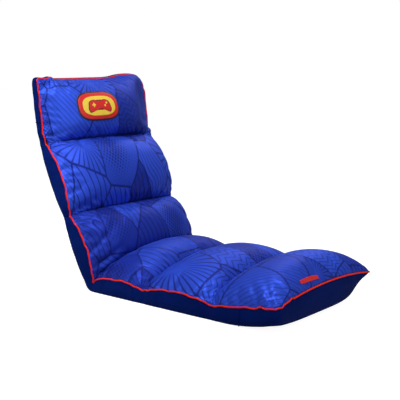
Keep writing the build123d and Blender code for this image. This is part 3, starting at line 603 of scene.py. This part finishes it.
def crowned(channels, share_across, share_along):
    """Unfolded place, height and distance across of points on a top, from their shares of the grid."""
    table = np.array(channels)
    position = np.round(share_along * len(channels), 6)
    index = np.minimum(position.astype(int), len(channels) - 1)
    angle = pi * (position - index)
    start, end, crown = table[index, 0], table[index, 1], table[index, 2]
    along = (1 - np.cos(angle)) / 2
    unfolded = start + (end - start) * along
    across = np.interp(share_across * ACROSS_LENGTH, turn_length, turn_across)
    edge = edge_height(unfolded, across)
    first, last = seam_height(start, across), seam_height(end, across)
    fullness = np.where(start <= FRONT + TINY, FRONT_FULLNESS, FULLNESS) + 0.22 * np.clip(0.4 - across, 0, 1)
    # the upper back's left corner falls away towards the neck
    below_neck = (np.abs(end - BACK_LENGTH) < TINY) * np.clip(2 * along - 1, 0, 1)
    fullness = fullness + 0.8 * below_neck * np.clip(across * 1.6, 0, 1)
    middle = np.sin(angle).clip(0)
    full = first + (last - first) * along + (crown - (first + last) / 2) * middle**fullness
    square = CREASE_SQUARE + (table[index, 6] - CREASE_SQUARE) * middle
    leftward = np.clip(across * 2 + 0.5, 0, 1)
    blunt = table[index, 7] + (table[index, 8] - table[index, 7]) * leftward
    blunt = CREASE_BLUNT + (blunt - CREASE_BLUNT) * middle + 0.4 * below_neck * leftward
    height = edge + (full - edge) * (1 - np.abs(across) ** square).clip(0) ** blunt
    from_fold = np.abs(unfolded[..., None] - np.array(FOLDS)).min(axis=-1)
    lid = (HINGE_LID**2 - from_fold**2).clip(0) ** 0.5
    lid = lid * ((1 - np.abs(across)) / (1 - HINGE_LID_END)).clip(0, 1) ** HINGE_LID_DROP
    height = np.where(lid > 0, np.hypot(height - lid, LID_BLEND) / 2 + (height + lid) / 2, height)
    height = height + gathers(unfolded, across) - drag_folds(unfolded, across * HALF_WIDTH)
    across = across * (edge_across(unfolded, across) - 0.001)
    origin = unfolded
    unfolded, across = round_corners(unfolded, across)
    return keep_off_folds(unfolded, height, origin), height, across, origin, position


print("crowns:", [channel[2] for channel in CHANNELS])

# %% The two tops
PAD_BASE, PAD_LIFT, PAD_LIFT_REACH = -0.0137, 0.017, 0.070


def fitted_top(name, channels):
    """A closed grid laid on its channels; returns it with its rest points and which of them are sewn down."""
    top = closed_grid(name, ROWS * len(channels))
    points = points_of(top)
    under = points[:, 2] < -0.5
    unfolded, height, across, origin, position = crowned(channels, points[:, 0] + 0.5, points[:, 1] + 0.5)
    from_fold = np.abs(origin[:, None] - np.array(FOLDS)).min(axis=1)
    height = np.where(under, PAD_BASE + PAD_LIFT * np.exp(-((from_fold / PAD_LIFT_REACH) ** 2)), height)
    unfolded = np.where(under, np.clip(origin, FRONT + 0.05, HEAD_TOP - 0.02), unfolded)
    across = np.where(under, across * 0.95, across)
    place = on_chair(unfolded, height, across, origin)
    move_points(top, place)
    crease = np.abs(position - np.round(position)) < 1e-4
    rim = (np.abs(points[:, 0]) > 0.4999) | (np.abs(points[:, 1]) > 0.4999)
    return top, place, under | crease | rim


lower_top, lower_rest, lower_sewn = fitted_top("seat_and_lower_back_top", SEAT_CHANNELS + BACK_CHANNELS[:1])
upper_top, upper_rest, upper_sewn = fitted_top("upper_back_and_head_top", BACK_CHANNELS[1:] + HEAD_CHANNELS)
print("top grids:", len(lower_rest), len(upper_rest), "points")

# %% [markdown]
# ## Stuffing the channels with cloth simulation
#
# Real covers are cut a little too large and then stuffed, so the cloth swells between its seams and puckers
# beside them. Sculpting that by hand is slow. Here the seams are pinned, the cloth is made a few percent too
# large with a negative shrink, and pressure from inside blows it up for a few frames. No point may move
# further than a cap, so that the chair keeps its outline.

# %% Simulate the tops
SWELL_CAP, FAR_HEAD_FIRMNESS = 0.024, 0.94
EXTRA_CLOTH, STUFFING_FRAMES = 0.035, 22
CLOTH = {
    "quality": 6, "mass": 0.3, "air_damping": 2.0, "tension_stiffness": 14, "compression_stiffness": 14,
    "shear_stiffness": 5, "bending_stiffness": 0.3, "shrink_min": -EXTRA_CLOTH, "shrink_max": -EXTRA_CLOTH,
    "use_pressure": True, "uniform_pressure_force": 4.0, "vertex_group_mass": "seams",
}


def stuff(piece, rest, sewn, cap):
    pins = piece.vertex_groups.new(name="seams")
    pins.add([int(i) for i in np.flatnonzero(sewn)], 1.0, "REPLACE")
    bpy.ops.object.select_all(action="DESELECT")
    piece.select_set(True)
    bpy.context.view_layer.objects.active = piece
    bpy.ops.object.modifier_add(type="CLOTH")
    cloth = piece.modifiers[-1]
    for key, value in CLOTH.items():
        setattr(cloth.settings, key, value)
    cloth.settings.effector_weights.gravity = 0
    cloth.collision_settings.use_collision = False
    cloth.point_cache.frame_start, cloth.point_cache.frame_end = 1, STUFFING_FRAMES
    for step in range(1, STUFFING_FRAMES + 1):
        bpy.context.scene.frame_set(step)
    bpy.ops.object.modifier_apply(modifier=cloth.name)
    bpy.context.scene.frame_set(1)
    shift = points_of(piece) - rest
    length = np.linalg.norm(shift, axis=1, keepdims=True)
    shift *= cap * np.tanh(length / cap) / np.maximum(length, 1e-9)
    move_points(piece, rest + shift)
    piece.vertex_groups.clear()
    apply_modifier("SUBSURF", levels=1, render_levels=1)
    bpy.ops.object.shade_smooth()
    print(f"{piece.name}: largest swell {length.max() * 1000:.1f} mm, {len(piece.data.polygons)} faces")


far_head = np.clip(upper_rest[:, 0] / HALF_WIDTH - 0.2, 0, 0.5) / 0.5
far_head = far_head * np.clip((upper_rest[:, 2] - NECK.z) / 0.05, 0, 1)
stuff(lower_top, lower_rest, lower_sewn, SWELL_CAP)
stuff(upper_top, upper_rest, upper_sewn, SWELL_CAP * (1 - FAR_HEAD_FIRMNESS * far_head)[:, None])

# %% [markdown]
# ## Border and underside cloth
#
# The navy cloth is a shallow tray: the underside with a wall on three sides. It starts as a grid, and its rim
# is extruded upwards step by step, as one would pull up the sides of a tray. The wall stands on a rounded
# lower edge and leans out to the sewn edge, so the tray is a little smaller at the floor, most of all in front.

# %% Rows along the strip
def strip_rows(start, end, step, fold, bend, turns):
    """Unfolded places and slopes of the rows, with extra rows that turn round one fold."""
    before = np.linspace(start, fold, int((fold - start) / step) + 1)
    after = np.linspace(fold, end, int((end - fold) / step) + 1)
    first, last = bend
    places = np.concatenate((before, np.full(turns - 1, fold), after))
    slopes = np.concatenate(
        (np.full(len(before), first), np.linspace(first, last, turns + 1)[1:-1], np.full(len(after), last))
    )
    return places, slopes


ROW_STEP = 0.0085
LOWER_ROWS = strip_rows(FRONT, BACK_CREASE, ROW_STEP, 0.0, (0.0, BACK_SLOPE), 8)
UPPER_ROWS = strip_rows(BACK_CREASE, HEAD_TOP, ROW_STEP, BACK_LENGTH, (BACK_SLOPE, HEAD_SLOPE), 4)
print("rows:", len(LOWER_ROWS[0]), len(UPPER_ROWS[0]))

# %% Points of the tray
FRONT_FLAT, FRONT_LIFT_RADIUS = FRONT + 0.190, 0.640
FRONT_INSET, TOP_INSET = 0.024, 0.012
WALL_BULGE, BACK_STUFFING, FRONT_SAG = 0.008, 0.008, 0.014


def tray_point(places, slopes, row, share, level, end, inward):
    """Point of a tray: level 0 is the underside and level 1 the sewn edge."""
    place, slope = places[row], slopes[row]
    side = np.sign(share)
    from_end = (place - end) * inward
    in_front = float(inward > 0)
    drawn_in = in_front * np.exp(-from_end / 0.10) * np.clip(share, 0, 1) ** 3
    up = 1 - np.cos(level * pi / 2) ** 0.95
    out = np.sin(level * pi / 2) ** np.where(np.abs(from_end) < 0.2, 0.66, 0.5)
    out = out + (up - out) * drawn_in
    end_inset = FRONT_INSET if inward > 0 else TOP_INSET
    side_inset = 0.012 * in_front * np.exp(-from_end / 0.11) - 0.002
    low_place = place + inward * (end_inset + 0.020 * drawn_in) * np.exp(-from_end / 0.08)
    low_across = share * (HALF_WIDTH - side_inset - 0.085 * drawn_in)
    low_place, low_across = round_corners(low_place, low_across, end_inset, HALF_WIDTH + 0.002)
    top_place, top_across = round_corners(place, share * edge_across(place, share))
    base = -HINGE_HEIGHT + np.clip(FRONT_FLAT - low_place, 0, None) ** 2 / (2 * FRONT_LIFT_RADIUS)
    stuffing = np.where(place > 0, BACK_STUFFING, 0.0) * (1 - near_crease(place, 0.060))
    sag = in_front * FRONT_SAG * (1 - share**4) * np.exp(-from_end / 0.06)
    base = base - stuffing - sag + 0.012 * drawn_in
    base = np.where(place <= 0, np.maximum(base, -HINGE_HEIGHT), base)
    height = base + (edge_height(place, share) - base) * up
    bulge = WALL_BULGE * np.sin(level * pi)
    on_side = np.abs(share) > 0.9999
    at_end = np.abs(from_end) < TINY
    unfolded = low_place + (top_place - low_place) * out - np.where(at_end, inward * bulge, 0)
    across = low_across + (top_across - low_across) * out + np.where(on_side, side * bulge, 0)
    return on_chair(unfolded, height, across, place, slope)


print("insets at the floor:", FRONT_INSET, TOP_INSET)

# %% The tray
WALL_STEPS, TRAY_COLUMNS = 8, 44
BORDER_THICKNESS = 0.0012


def tray(name, rows, end, inward):
    places, slopes = rows
    count = len(places) - 1
    piece = new_grid(name, TRAY_COLUMNS, count)
    open_end = 0.5 * inward
    select_edges(piece.data, lambda co: abs(co.x) > 0.4999 or abs(co.y + open_end) < 1e-4)
    bpy.ops.object.mode_set(mode="EDIT")
    bpy.ops.mesh.select_mode(type="EDGE")
    for _ in range(WALL_STEPS):
        bpy.ops.mesh.extrude_region_move(TRANSFORM_OT_translate={"value": (0, 0, 1 / WALL_STEPS)})
    bpy.ops.object.mode_set(mode="OBJECT")
    points = points_of(piece)
    row = np.round((points[:, 1] + 0.5) * count).astype(int)
    move_points(piece, tray_point(places, slopes, row, points[:, 0] * 2, points[:, 2], end, inward))
    face_outwards()
    apply_modifier("SUBSURF", levels=1, render_levels=1)
    apply_modifier("SOLIDIFY", thickness=BORDER_THICKNESS, offset=-1)
    bpy.ops.object.shade_smooth()
    print(name, len(piece.data.polygons), "faces")
    return piece


lower_tray = tray("seat_and_lower_back_border", LOWER_ROWS, FRONT, 1)
upper_tray = tray("upper_back_and_head_border", UPPER_ROWS, HEAD_TOP, -1)

# %% [markdown]
# ## Piping
#
# Red piping covers the seam between top and border: a thin cord wrapped in cloth. A path with a round bevel
# follows the sewn edge exactly and is then converted to a mesh. Sweeping a circle in edit mode would give the
# same tube with more work.

# %% Piping
PIPING_RADIUS = 0.0025


def sewn_edge(places, slopes, end, inward):
    """Points along the sewn edge: up one side, across the end and back along the other side."""
    rows = np.arange(len(places))
    end_row = 0 if inward > 0 else len(places) - 1
    to_end = rows[::-1] if inward > 0 else rows
    across = np.linspace(-1, 1, 81)[1:-1]
    row = np.concatenate((to_end, np.full(len(across), end_row), to_end[::-1]))
    share = np.concatenate((np.full(len(rows), -1.0), across, np.full(len(rows), 1.0)))
    return tray_point(places, slopes, row, share, np.ones(len(row)), end, inward)


def tube(name, route, radius):
    """A round tube along a route, made from a path and converted to a mesh."""
    bpy.ops.object.select_all(action="DESELECT")
    bpy.ops.curve.primitive_nurbs_path_add(location=(0, 0, 0))
    cord = bpy.context.object
    curve = cord.data
    curve.splines.clear()
    spline = curve.splines.new("NURBS")
    spline.points.add(len(route) - 1)
    for point, place in zip(spline.points, route):
        point.co = (*place, 1)
    spline.order_u = 3
    spline.use_endpoint_u = True
    spline.resolution_u = 2
    curve.bevel_depth = radius
    curve.bevel_resolution = 3
    curve.use_fill_caps = True
    bpy.ops.object.convert(target="MESH")
    cord = bpy.context.object
    cord.name = cord.data.name = name
    bpy.ops.object.shade_smooth()
    return cord


lower_edge = sewn_edge(*LOWER_ROWS, FRONT, 1)
upper_edge = sewn_edge(*UPPER_ROWS, HEAD_TOP, -1)
lower_piping = tube("seat_and_lower_back_piping", lower_edge, PIPING_RADIUS)
upper_piping = tube("upper_back_and_head_piping", upper_edge, PIPING_RADIUS)
for edge in (lower_edge, upper_edge):
    print(f"piping length {np.linalg.norm(np.diff(edge, axis=0), axis=1).sum():.3f} m")

# %% [markdown]
# ## Printed satin
#
# The top cloth is blue satin with a tone-on-tone print of panels, dots and lines in darker blue. An image would
# be quick, but it would have a fixed size and need a file. Here the grid's UV map is scaled to metres of cloth,
# and textures draw the print on it: a Voronoi pattern cuts the cloth into panels, and each panel's own random
# colour picks dots, rays, arcs, waves, teeth or hatching. A painted shade darkens the rear seat and lower back
# near the recline fold.

# %% UV maps in metres of cloth
def scale_cloth_map(piece, start, length):
    cloth_map = piece.data.uv_layers[0]
    cloth_map.name = "cloth"
    values = np.empty(len(cloth_map.data) * 2)
    cloth_map.data.foreach_get("uv", values)
    values = values.reshape(-1, 2) * (ACROSS_LENGTH, length) + (0.0, start)
    cloth_map.data.foreach_set("uv", values.ravel())


CHANNEL_CLOTH = 0.32
scale_cloth_map(lower_top, 0.0, 4 * CHANNEL_CLOTH)
scale_cloth_map(upper_top, 4 * CHANNEL_CLOTH, 2 * CHANNEL_CLOTH)
print(f"cloth width {ACROSS_LENGTH:.3f} m")

# %% The print's panels
satin = Finish("printed_blue_satin", {
    "Metallic": 0.35,
    "Specular IOR Level": 0.30,
    "Specular Tint": colour(120, 150, 255),
    "Sheen Weight": 0.08,
    "Sheen Roughness": 0.40,
    "Sheen Tint": colour(80, 120, 255),
})
cloth_place = satin.add("UVMap", settings={"uv_map": "cloth"})
PANEL_TURN = radians(23)
leaning = satin.add(
    "Mapping", Vector=cloth_place, Location=(0.37, 0.21, 0), Rotation=(0, 0, PANEL_TURN), Scale=(1.0, 0.75, 1.0)
)
flat = {"voronoi_dimensions": "2D"}
to_edge = {**flat, "feature": "DISTANCE_TO_EDGE"}
panels = {"Vector": leaning, "Scale": 7.0, "Randomness": 0.85}
panel_edge = satin.add("TexVoronoi", settings=to_edge, **panels)
panel_gap = satin.add("TexVoronoi", settings=flat, **panels)
panel = panel_gap.node
panel_pick = satin.add("SeparateColor", Color=panel.outputs["Color"])
panel_tone = panel_pick.node.outputs[1]
panel_line = satin.step(panel_edge, 0.010, 0.026, 1.0, 0.0)
print("panel nodes:", len(satin.tree.nodes))

# %% Dots, rays, arcs, waves, teeth and hatching
def stripes(place, pitch_share, soft=0.06):
    """1 on a band that fills a share of each repeat of the place."""
    off = satin.math("ABSOLUTE", satin.math("SUBTRACT", satin.math("FRACT", place), 0.5))
    return satin.step(off, max(pitch_share / 2 - soft, 0.0), pitch_share / 2 + soft, 1.0, 0.0)


def picked(low, high):
    """1 in the panels whose random number lies between the two."""
    above = satin.math("GREATER_THAN", panel_pick, low)
    return satin.math("MULTIPLY", above, satin.math("LESS_THAN", panel_pick, high))


def turned(degrees, across, along):
    """The cloth's map, turned, with so many repeats per metre across and along."""
    return satin.add("Mapping", Vector=cloth_place, Rotation=(0, 0, radians(degrees)), Scale=(across, along, 1))


dot_place = turned(38, 95, 95)
dot_offset = satin.vector("SUBTRACT", satin.vector("FRACTION", dot_place), (0.5, 0.5, 0))
dot_gap = satin.vector("LENGTH", dot_offset, output=1)
dot_size = satin.step(panel_gap, 0.10, 0.65, 0.44, 0.10)
dots = satin.step(satin.math("SUBTRACT", dot_gap, dot_size), -0.05, 0.05, 1.0, 0.0)

from_middle = satin.vector("SUBTRACT", leaning, panel.outputs["Position"])
ray_split = satin.add("SeparateXYZ", Vector=from_middle)
ray_turn = satin.math("ARCTAN2", ray_split.node.outputs[1], ray_split)
rays = stripes(satin.math("MULTIPLY", ray_turn, 4.5), 0.28)
rays = satin.math("MULTIPLY", rays, satin.step(panel_gap, 0.12, 0.30))

arc_gap = satin.vector("LENGTH", satin.vector("ADD", from_middle, (0.20, 0.13, 0)), output=1)
arcs = stripes(satin.math("MULTIPLY", arc_gap, 48.0), 0.17, 0.05)
wave_split = satin.add("SeparateXYZ", Vector=turned(64, 60, 46))
wave_rise = satin.math("MULTIPLY", satin.math("SINE", wave_split), 0.5)
waves = stripes(satin.math("ADD", wave_split.node.outputs[1], wave_rise), 0.22)
tooth_split = satin.add("SeparateXYZ", Vector=turned(-17, 34, 52))
tooth = satin.math("PINGPONG", tooth_split, 1.0)
teeth = stripes(satin.math("ADD", tooth_split.node.outputs[1], tooth), 0.26)
hatch_place = satin.vector("DOT_PRODUCT", cloth_place, (62, 44, 0), output=1)
hatching = stripes(hatch_place, 0.24)
print("motif nodes:", len(satin.tree.nodes))

# %% The print's colour, with painted shade at the recline fold
LIGHT_BLUE, MIDDLE_BLUE, INK_BLUE = colour(55, 91, 228), colour(31, 50, 154), colour(17, 21, 94)
ink = satin.math("MULTIPLY", dots, picked(-1, 0.22))
for motif, low, high, weight in (
    (rays, 0.22, 0.42, 0.9), (arcs, 0.42, 0.56, 1.0), (waves, 0.56, 0.70, 0.8), (teeth, 0.70, 0.84, 0.7),
    (hatching, 0.84, 2.0, 0.55),
):
    share = satin.math("MULTIPLY", satin.math("MULTIPLY", motif, picked(low, high)), weight)
    ink = satin.math("MAXIMUM", ink, share)
ink = satin.math("MULTIPLY", satin.math("MAXIMUM", ink, panel_line), 0.80)
wear = satin.noise(cloth_place, 5.0, 3.0)
# painted shade: the cloth is darkened across the rear seat and lower back, most near the recline fold, where
# the backrest shades it
cloth_split = satin.add("SeparateXYZ", Vector=cloth_place)
from_fold = satin.math("ABSOLUTE", satin.math("SUBTRACT", cloth_split.node.outputs[1], 3.1 * CHANNEL_CLOTH))
painted_fold_shade = satin.step(from_fold, 0.10, 0.50, 0.34, 0.0)
tone = satin.math("MULTIPLY_ADD", wear, 0.5, satin.math("MULTIPLY_ADD", panel_tone, 0.75, painted_fold_shade))
ground = satin.mix(tone, LIGHT_BLUE, MIDDLE_BLUE)
fine_threads = satin.add("TexNoise", Vector=turned(0, 1200, 1200), Scale=1.0, Detail=1.0)
satin.set(
    base_color=satin.mix(ink, ground, INK_BLUE),
    roughness=satin.step(wear, 0.2, 0.8, 0.43, 0.53),
)
crinkle = satin.noise(turned(0, 38, 38), 1.0, 4.0, 0.6, 0.6)
height = satin.math("MULTIPLY_ADD", fine_threads, 0.10, crinkle)
satin.set(normal=satin.bump(height, 0.28, 0.0022))
print("satin nodes:", len(satin.tree.nodes))

# %% [markdown]
# ## Border weave and piping cloth
#
# The border is a plain navy weave, matt, with a little lint on it. The piping is the same kind of cloth in red,
# wrapped round a cord. Both get their weave from fine crossed waves on object coordinates, so that the size of
# a thread is the same everywhere, and their colour wanders a little.

# %% Plain cloths
def woven(name, deep, pale, pitch, roughness, sheen, gloss=0.3):
    cloth = Finish(name, {
        "Roughness": roughness,
        "Specular IOR Level": gloss,
        "Specular Tint": pale,
        "Sheen Weight": sheen,
        "Sheen Roughness": 0.5,
        "Sheen Tint": pale,
    })
    place = cloth.object_place()
    weave = []
    for direction in ((1, 0.35, 0.9), (-0.35, 1, 0.8)):
        along = cloth.vector("DOT_PRODUCT", place, tuple(2 * pi / pitch * v for v in direction), output=1)
        weave.append(cloth.math("SINE", along))
    threads = cloth.math("MULTIPLY", weave[0], weave[1])
    lint = cloth.noise(place, 260.0, 2.0)
    patches = cloth.noise(place, 7.0, 3.0)
    shade = cloth.math("MULTIPLY_ADD", lint, 0.35, cloth.math("MULTIPLY", patches, 0.5))
    share = cloth.math("MULTIPLY_ADD", threads, 0.12, shade)
    cloth.set(base_color=cloth.mix(share, deep, pale))
    creases = cloth.noise(place, 26.0, 3.0, 0.55, 0.8)
    height = cloth.math("MULTIPLY_ADD", threads, 0.08, creases)
    cloth.set(normal=cloth.bump(height, 0.25, 0.0016))
    return cloth


navy_weave = woven("navy_border_weave", colour(1, 7, 52), colour(10, 38, 118), 0.0012, 0.62, 0.02, 0.05)
piping_cloth = woven("red_piping_cloth", colour(208, 22, 6), colour(252, 62, 20), 0.0010, 0.55, 0.04)
for piece, finish in (
    (lower_top, satin), (upper_top, satin), (lower_tray, navy_weave),
    (upper_tray, navy_weave), (lower_piping, piping_cloth), (upper_piping, piping_cloth),
):
    dress(piece, finish)
print("cloth finishes on six pieces")

# %% [markdown]
# ## A patch on the head section
#
# An embroidered patch in red, yellow and near-black sits on the head section. Its layers could be painted in
# the material, but stacked layers of cloth and thread catch the light at their edges. Each layer starts as a
# grid that is rounded into its outline and then dropped onto the quilted top by casting a ray from every point.

# %% Dropping a layer of cloth
upper_top.data.update()
PATCH_CENTRE = (-0.078, BACK_LENGTH + 0.118)


def drop_on(carrier, across, unfolded, proud):
    """Points on a soft top under places on the strip, raised a little along its normal."""
    bpy.context.view_layer.update()
    starts = on_chair(unfolded, np.full_like(across, 0.3), across, unfolded)
    slopes = slope_at(unfolded)
    landed = []
    for start, slope in zip(starts, slopes):
        hit, place, normal, _ = carrier.ray_cast(Vector(start), Vector((0, sin(slope), -cos(slope))))
        assert hit, start
        landed.append(place + normal * proud)
    return np.array(landed)


def patch_layer(
    name, offset, outline, proud, thickness, count=(26, 16), carrier=upper_top, centre=PATCH_CENTRE
):
    """One layer of a patch: outline is its reach at each angle, or the half sizes of a stiff bar."""
    piece = new_grid(name, *count, size=2)
    p, q, _ = points_of(piece).T
    if np.ndim(outline[0]):
        x, y = p * np.sqrt(1 - q * q / 2), q * np.sqrt(1 - p * p / 2)
        reach = np.interp(np.arctan2(y, x), *outline, period=2 * pi)
        x, y = x * reach, y * reach
    else:
        x, y = p * outline[0], q * outline[1]
    across = centre[0] + offset[0] + x
    unfolded = centre[1] + offset[1] + y
    landed = drop_on(carrier, across, unfolded, proud)
    if not np.ndim(outline[0]):
        for row in np.unique(q):
            x, y, z = landed[q == row].T
            even = (np.polyval(np.polyfit(x, values, 2), x) for values in (y, z))
            landed[q == row] = np.stack((x, *even), axis=1)
    move_points(piece, landed)
    apply_modifier("SOLIDIFY", thickness=thickness, offset=1)
    apply_modifier("SUBSURF", levels=1, render_levels=1)
    bpy.ops.object.shade_smooth()
    return piece


print("patch centre:", tuple(round(v, 3) for v in PATCH_CENTRE))

# %% Patch layers
ANGLES = np.linspace(-pi, pi, 181)


def rounded_box(half_width, half_height, power):
    """Outline of a box with full, round corners."""
    return ANGLES, (
        np.abs(np.cos(ANGLES) / half_width) ** power + np.abs(np.sin(ANGLES) / half_height) ** power
    ) ** (-1 / power)


# the handset's left half, in millimetres; the other half mirrors it
HANDSET_HALF = (
    (44, 2), (41, 14), (27, 20), (12, 18), (0, 17.5),
    (0, -9.5), (10, -10), (22, -14), (34, -21), (42, -21), (47, -10),
)
HANDSET = np.array(HANDSET_HALF + tuple((-x, y) for x, y in HANDSET_HALF if x)) / 1000
handset_turn = np.arctan2(HANDSET[:, 1], HANDSET[:, 0])
in_order = np.argsort(handset_turn)
handset_outline = (handset_turn[in_order], np.hypot(*HANDSET.T)[in_order])
patch_edge = patch_layer("head_patch_edge", (0, 0), rounded_box(0.090, 0.053, 3.2), 0.0002, 0.0016)
patch_field = patch_layer("head_patch_field", (0, 0), rounded_box(0.0845, 0.0475, 3.2), 0.0014, 0.0012)
patch_panel = patch_layer("head_patch_panel", (0, 0), rounded_box(0.070, 0.035, 2.8), 0.0024, 0.0010)
shadow_outline = (handset_outline[0], handset_outline[1] + 0.0035)
patch_shadow = patch_layer("head_patch_handset_edge", (0, -0.001), shadow_outline, 0.0030, 0.0012, (40, 28))
patch_handset = patch_layer("head_patch_handset", (0, -0.001), handset_outline, 0.0038, 0.0014, (40, 28))
# name, offset, half width, half height and squareness of the outline, and counts of the grid
DETAILS = (
    ("cross_bar", (-0.026, 0.003), (0.0085, 0.0026, 4), (8, 6)),
    ("cross_post", (-0.026, 0.003), (0.0026, 0.0085, 4), (6, 8)),
    ("button_upper", (0.030, 0.008), (0.0038, 0.0038, 2), (8, 8)),
    ("button_lower", (0.021, -0.001), (0.0038, 0.0038, 2), (8, 8)),
)
details = [
    patch_layer("head_patch_" + name, offset, rounded_box(*outline), 0.0048, 0.0010, count)
    for name, offset, outline, count in DETAILS
]
print("patch layers:", 5 + len(details))

# %% Thread finishes
def satin_stitch(name, deep, pale, lean):
    """Shiny parallel threads, each about two millimetres wide, in slightly different shades."""
    thread = Finish(name, {
        "Roughness": 0.42,
        "Specular IOR Level": 0.45,
        "Sheen Weight": 0.15,
        "Sheen Tint": pale,
    })
    place = thread.object_place()
    along = thread.vector("DOT_PRODUCT", place, (900 * cos(lean), 0.0, 900 * sin(lean)), output=1)
    round_thread = thread.math("PINGPONG", along, 1.0)
    shade = thread.noise(thread.vector("MULTIPLY", place, (700 * cos(lean), 30, 700 * sin(lean))), 1.0, 1.0)
    share = thread.math("MULTIPLY_ADD", round_thread, 0.45, thread.math("MULTIPLY", shade, 0.5))
    thread.set(base_color=thread.mix(share, deep, pale))
    thread.set(normal=thread.bump(round_thread, 0.5, 0.0004))
    return thread


dark_thread = satin_stitch("near_black_thread", colour(8, 8, 16), colour(34, 32, 44), radians(40))
red_thread = satin_stitch("red_thread", colour(170, 12, 16), colour(226, 40, 36), radians(70))
yellow_thread = satin_stitch("yellow_thread", colour(206, 164, 20), colour(248, 222, 84), radians(110))
for piece, finish in (
    (patch_edge, dark_thread), (patch_field, red_thread), (patch_panel, yellow_thread),
    (patch_shadow, dark_thread), (patch_handset, red_thread), *((piece, yellow_thread) for piece in details),
):
    dress(piece, finish)
    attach(piece, "headrest")
print("thread finishes on", 5 + len(details), "layers")

# %% [markdown]
# ## A tab on the front channel and joins in the border
#
# The small plain tab near the front edge is one more layer dropped onto the top, like those of the patch. The
# border's joins run down its wall, where two lengths of cloth meet. A line of thread is thin, so a path with a
# round bevel is enough, as for the piping.

# %% Tab and sewn joins
TAB_CENTRE, TAB_HALF_SIZE = (-0.074, FRONT + 0.013), (0.050, 0.0036)
JOIN_RADIUS, JOIN_PROUD, JOIN_POINTS = 0.0014, 0.0008, 25
front_tab = patch_layer("front_tab", (0, 0), TAB_HALF_SIZE, 0.0012, 0.0012, (60, 4), lower_top, TAB_CENTRE)
dress(front_tab, red_thread)
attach(front_tab, "seat")

joins = []
for body, rows, end, inward, at in (
    ("seat", LOWER_ROWS, FRONT, 1, FRONT + 0.128), ("headrest", UPPER_ROWS, HEAD_TOP, -1, BACK_LENGTH + 0.078),
):
    row = int(np.abs(rows[0] - at).argmin())
    for side, hand in ((-1, "right"), (1, "left")):
        level = np.linspace(0.02, 0.98, JOIN_POINTS)
        share = np.full(JOIN_POINTS, float(side))
        route = tray_point(*rows, np.full(JOIN_POINTS, row), share, level, end, inward)
        join = tube(f"{body}_border_join_{hand}", route + (side * JOIN_PROUD, 0, 0), JOIN_RADIUS)
        dress(join, navy_weave)
        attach(join, body)
        joins.append(join)
print("sewn joins:", len(joins))

# %% [markdown]
# ## Steel inside
#
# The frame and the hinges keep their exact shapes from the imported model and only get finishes: black powder
# coat with its orange-peel texture on the tubes, zinc plate on the hinge parts and blued steel on the springs.

# %% Steel finishes
def steel(name, deep, pale, metallic, roughness, grain, strength):
    metal = Finish(name, {"Metallic": metallic})
    place = metal.object_place()
    cloud = metal.noise(place, 45.0, 4.0)
    metal.set(
        base_color=metal.mix(cloud, deep, pale),
        roughness=metal.step(cloud, 0.2, 0.8, roughness - 0.07, roughness + 0.10),
        normal=metal.bump(metal.noise(place, grain, 2.0), strength, 0.0004),
    )
    return metal


powder_coat = steel("black_powder_coat", colour(14, 14, 16), colour(36, 36, 40), 0.0, 0.45, 900.0, 0.30)
zinc = steel("zinc_plate", colour(150, 152, 158), colour(198, 200, 206), 1.0, 0.36, 300.0, 0.10)
blued = steel("blued_spring_steel", colour(40, 44, 62), colour(84, 90, 108), 1.0, 0.32, 500.0, 0.08)
pale_foam = woven("open_foam", colour(222, 214, 186), colour(240, 234, 212), 0.0040, 0.90, 0.05)
for name, node in frame["nodes"].items():
    finish = zinc
    for word, choice in (
        ("tube", powder_coat), ("spring", blued), ("foam", pale_foam), ("channel", satin),
        ("cover", navy_weave), ("band", navy_weave), ("piping", piping_cloth),
    ):
        finish = choice if word in name else finish
    dress(node, finish)
print("finishes on", len(frame["nodes"]), "nodes")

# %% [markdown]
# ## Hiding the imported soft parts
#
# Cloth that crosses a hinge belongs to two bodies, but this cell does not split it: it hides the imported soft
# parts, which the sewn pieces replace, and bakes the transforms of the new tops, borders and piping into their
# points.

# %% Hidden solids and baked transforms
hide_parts("seat_front_channel", "seat_middle_channel", "seat_rear_channel", "back_lower_channel")
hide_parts("back_upper_channel", "head_channel")
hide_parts("seat_cover", "recline_band", "seat_foam")
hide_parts("back_cover", "head_cover", "neck_band", "back_foam", "head_foam")
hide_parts("seat_piping")
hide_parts("back_piping", "head_piping")
for piece, slot in ((lower_top, "top_fabric"), (lower_tray, "border_fabric"), (lower_piping, "piping_cord")):
    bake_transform(piece)
for piece, slot in ((upper_top, "top_fabric"), (upper_tray, "border_fabric"), (upper_piping, "piping_cord")):
    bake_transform(piece)
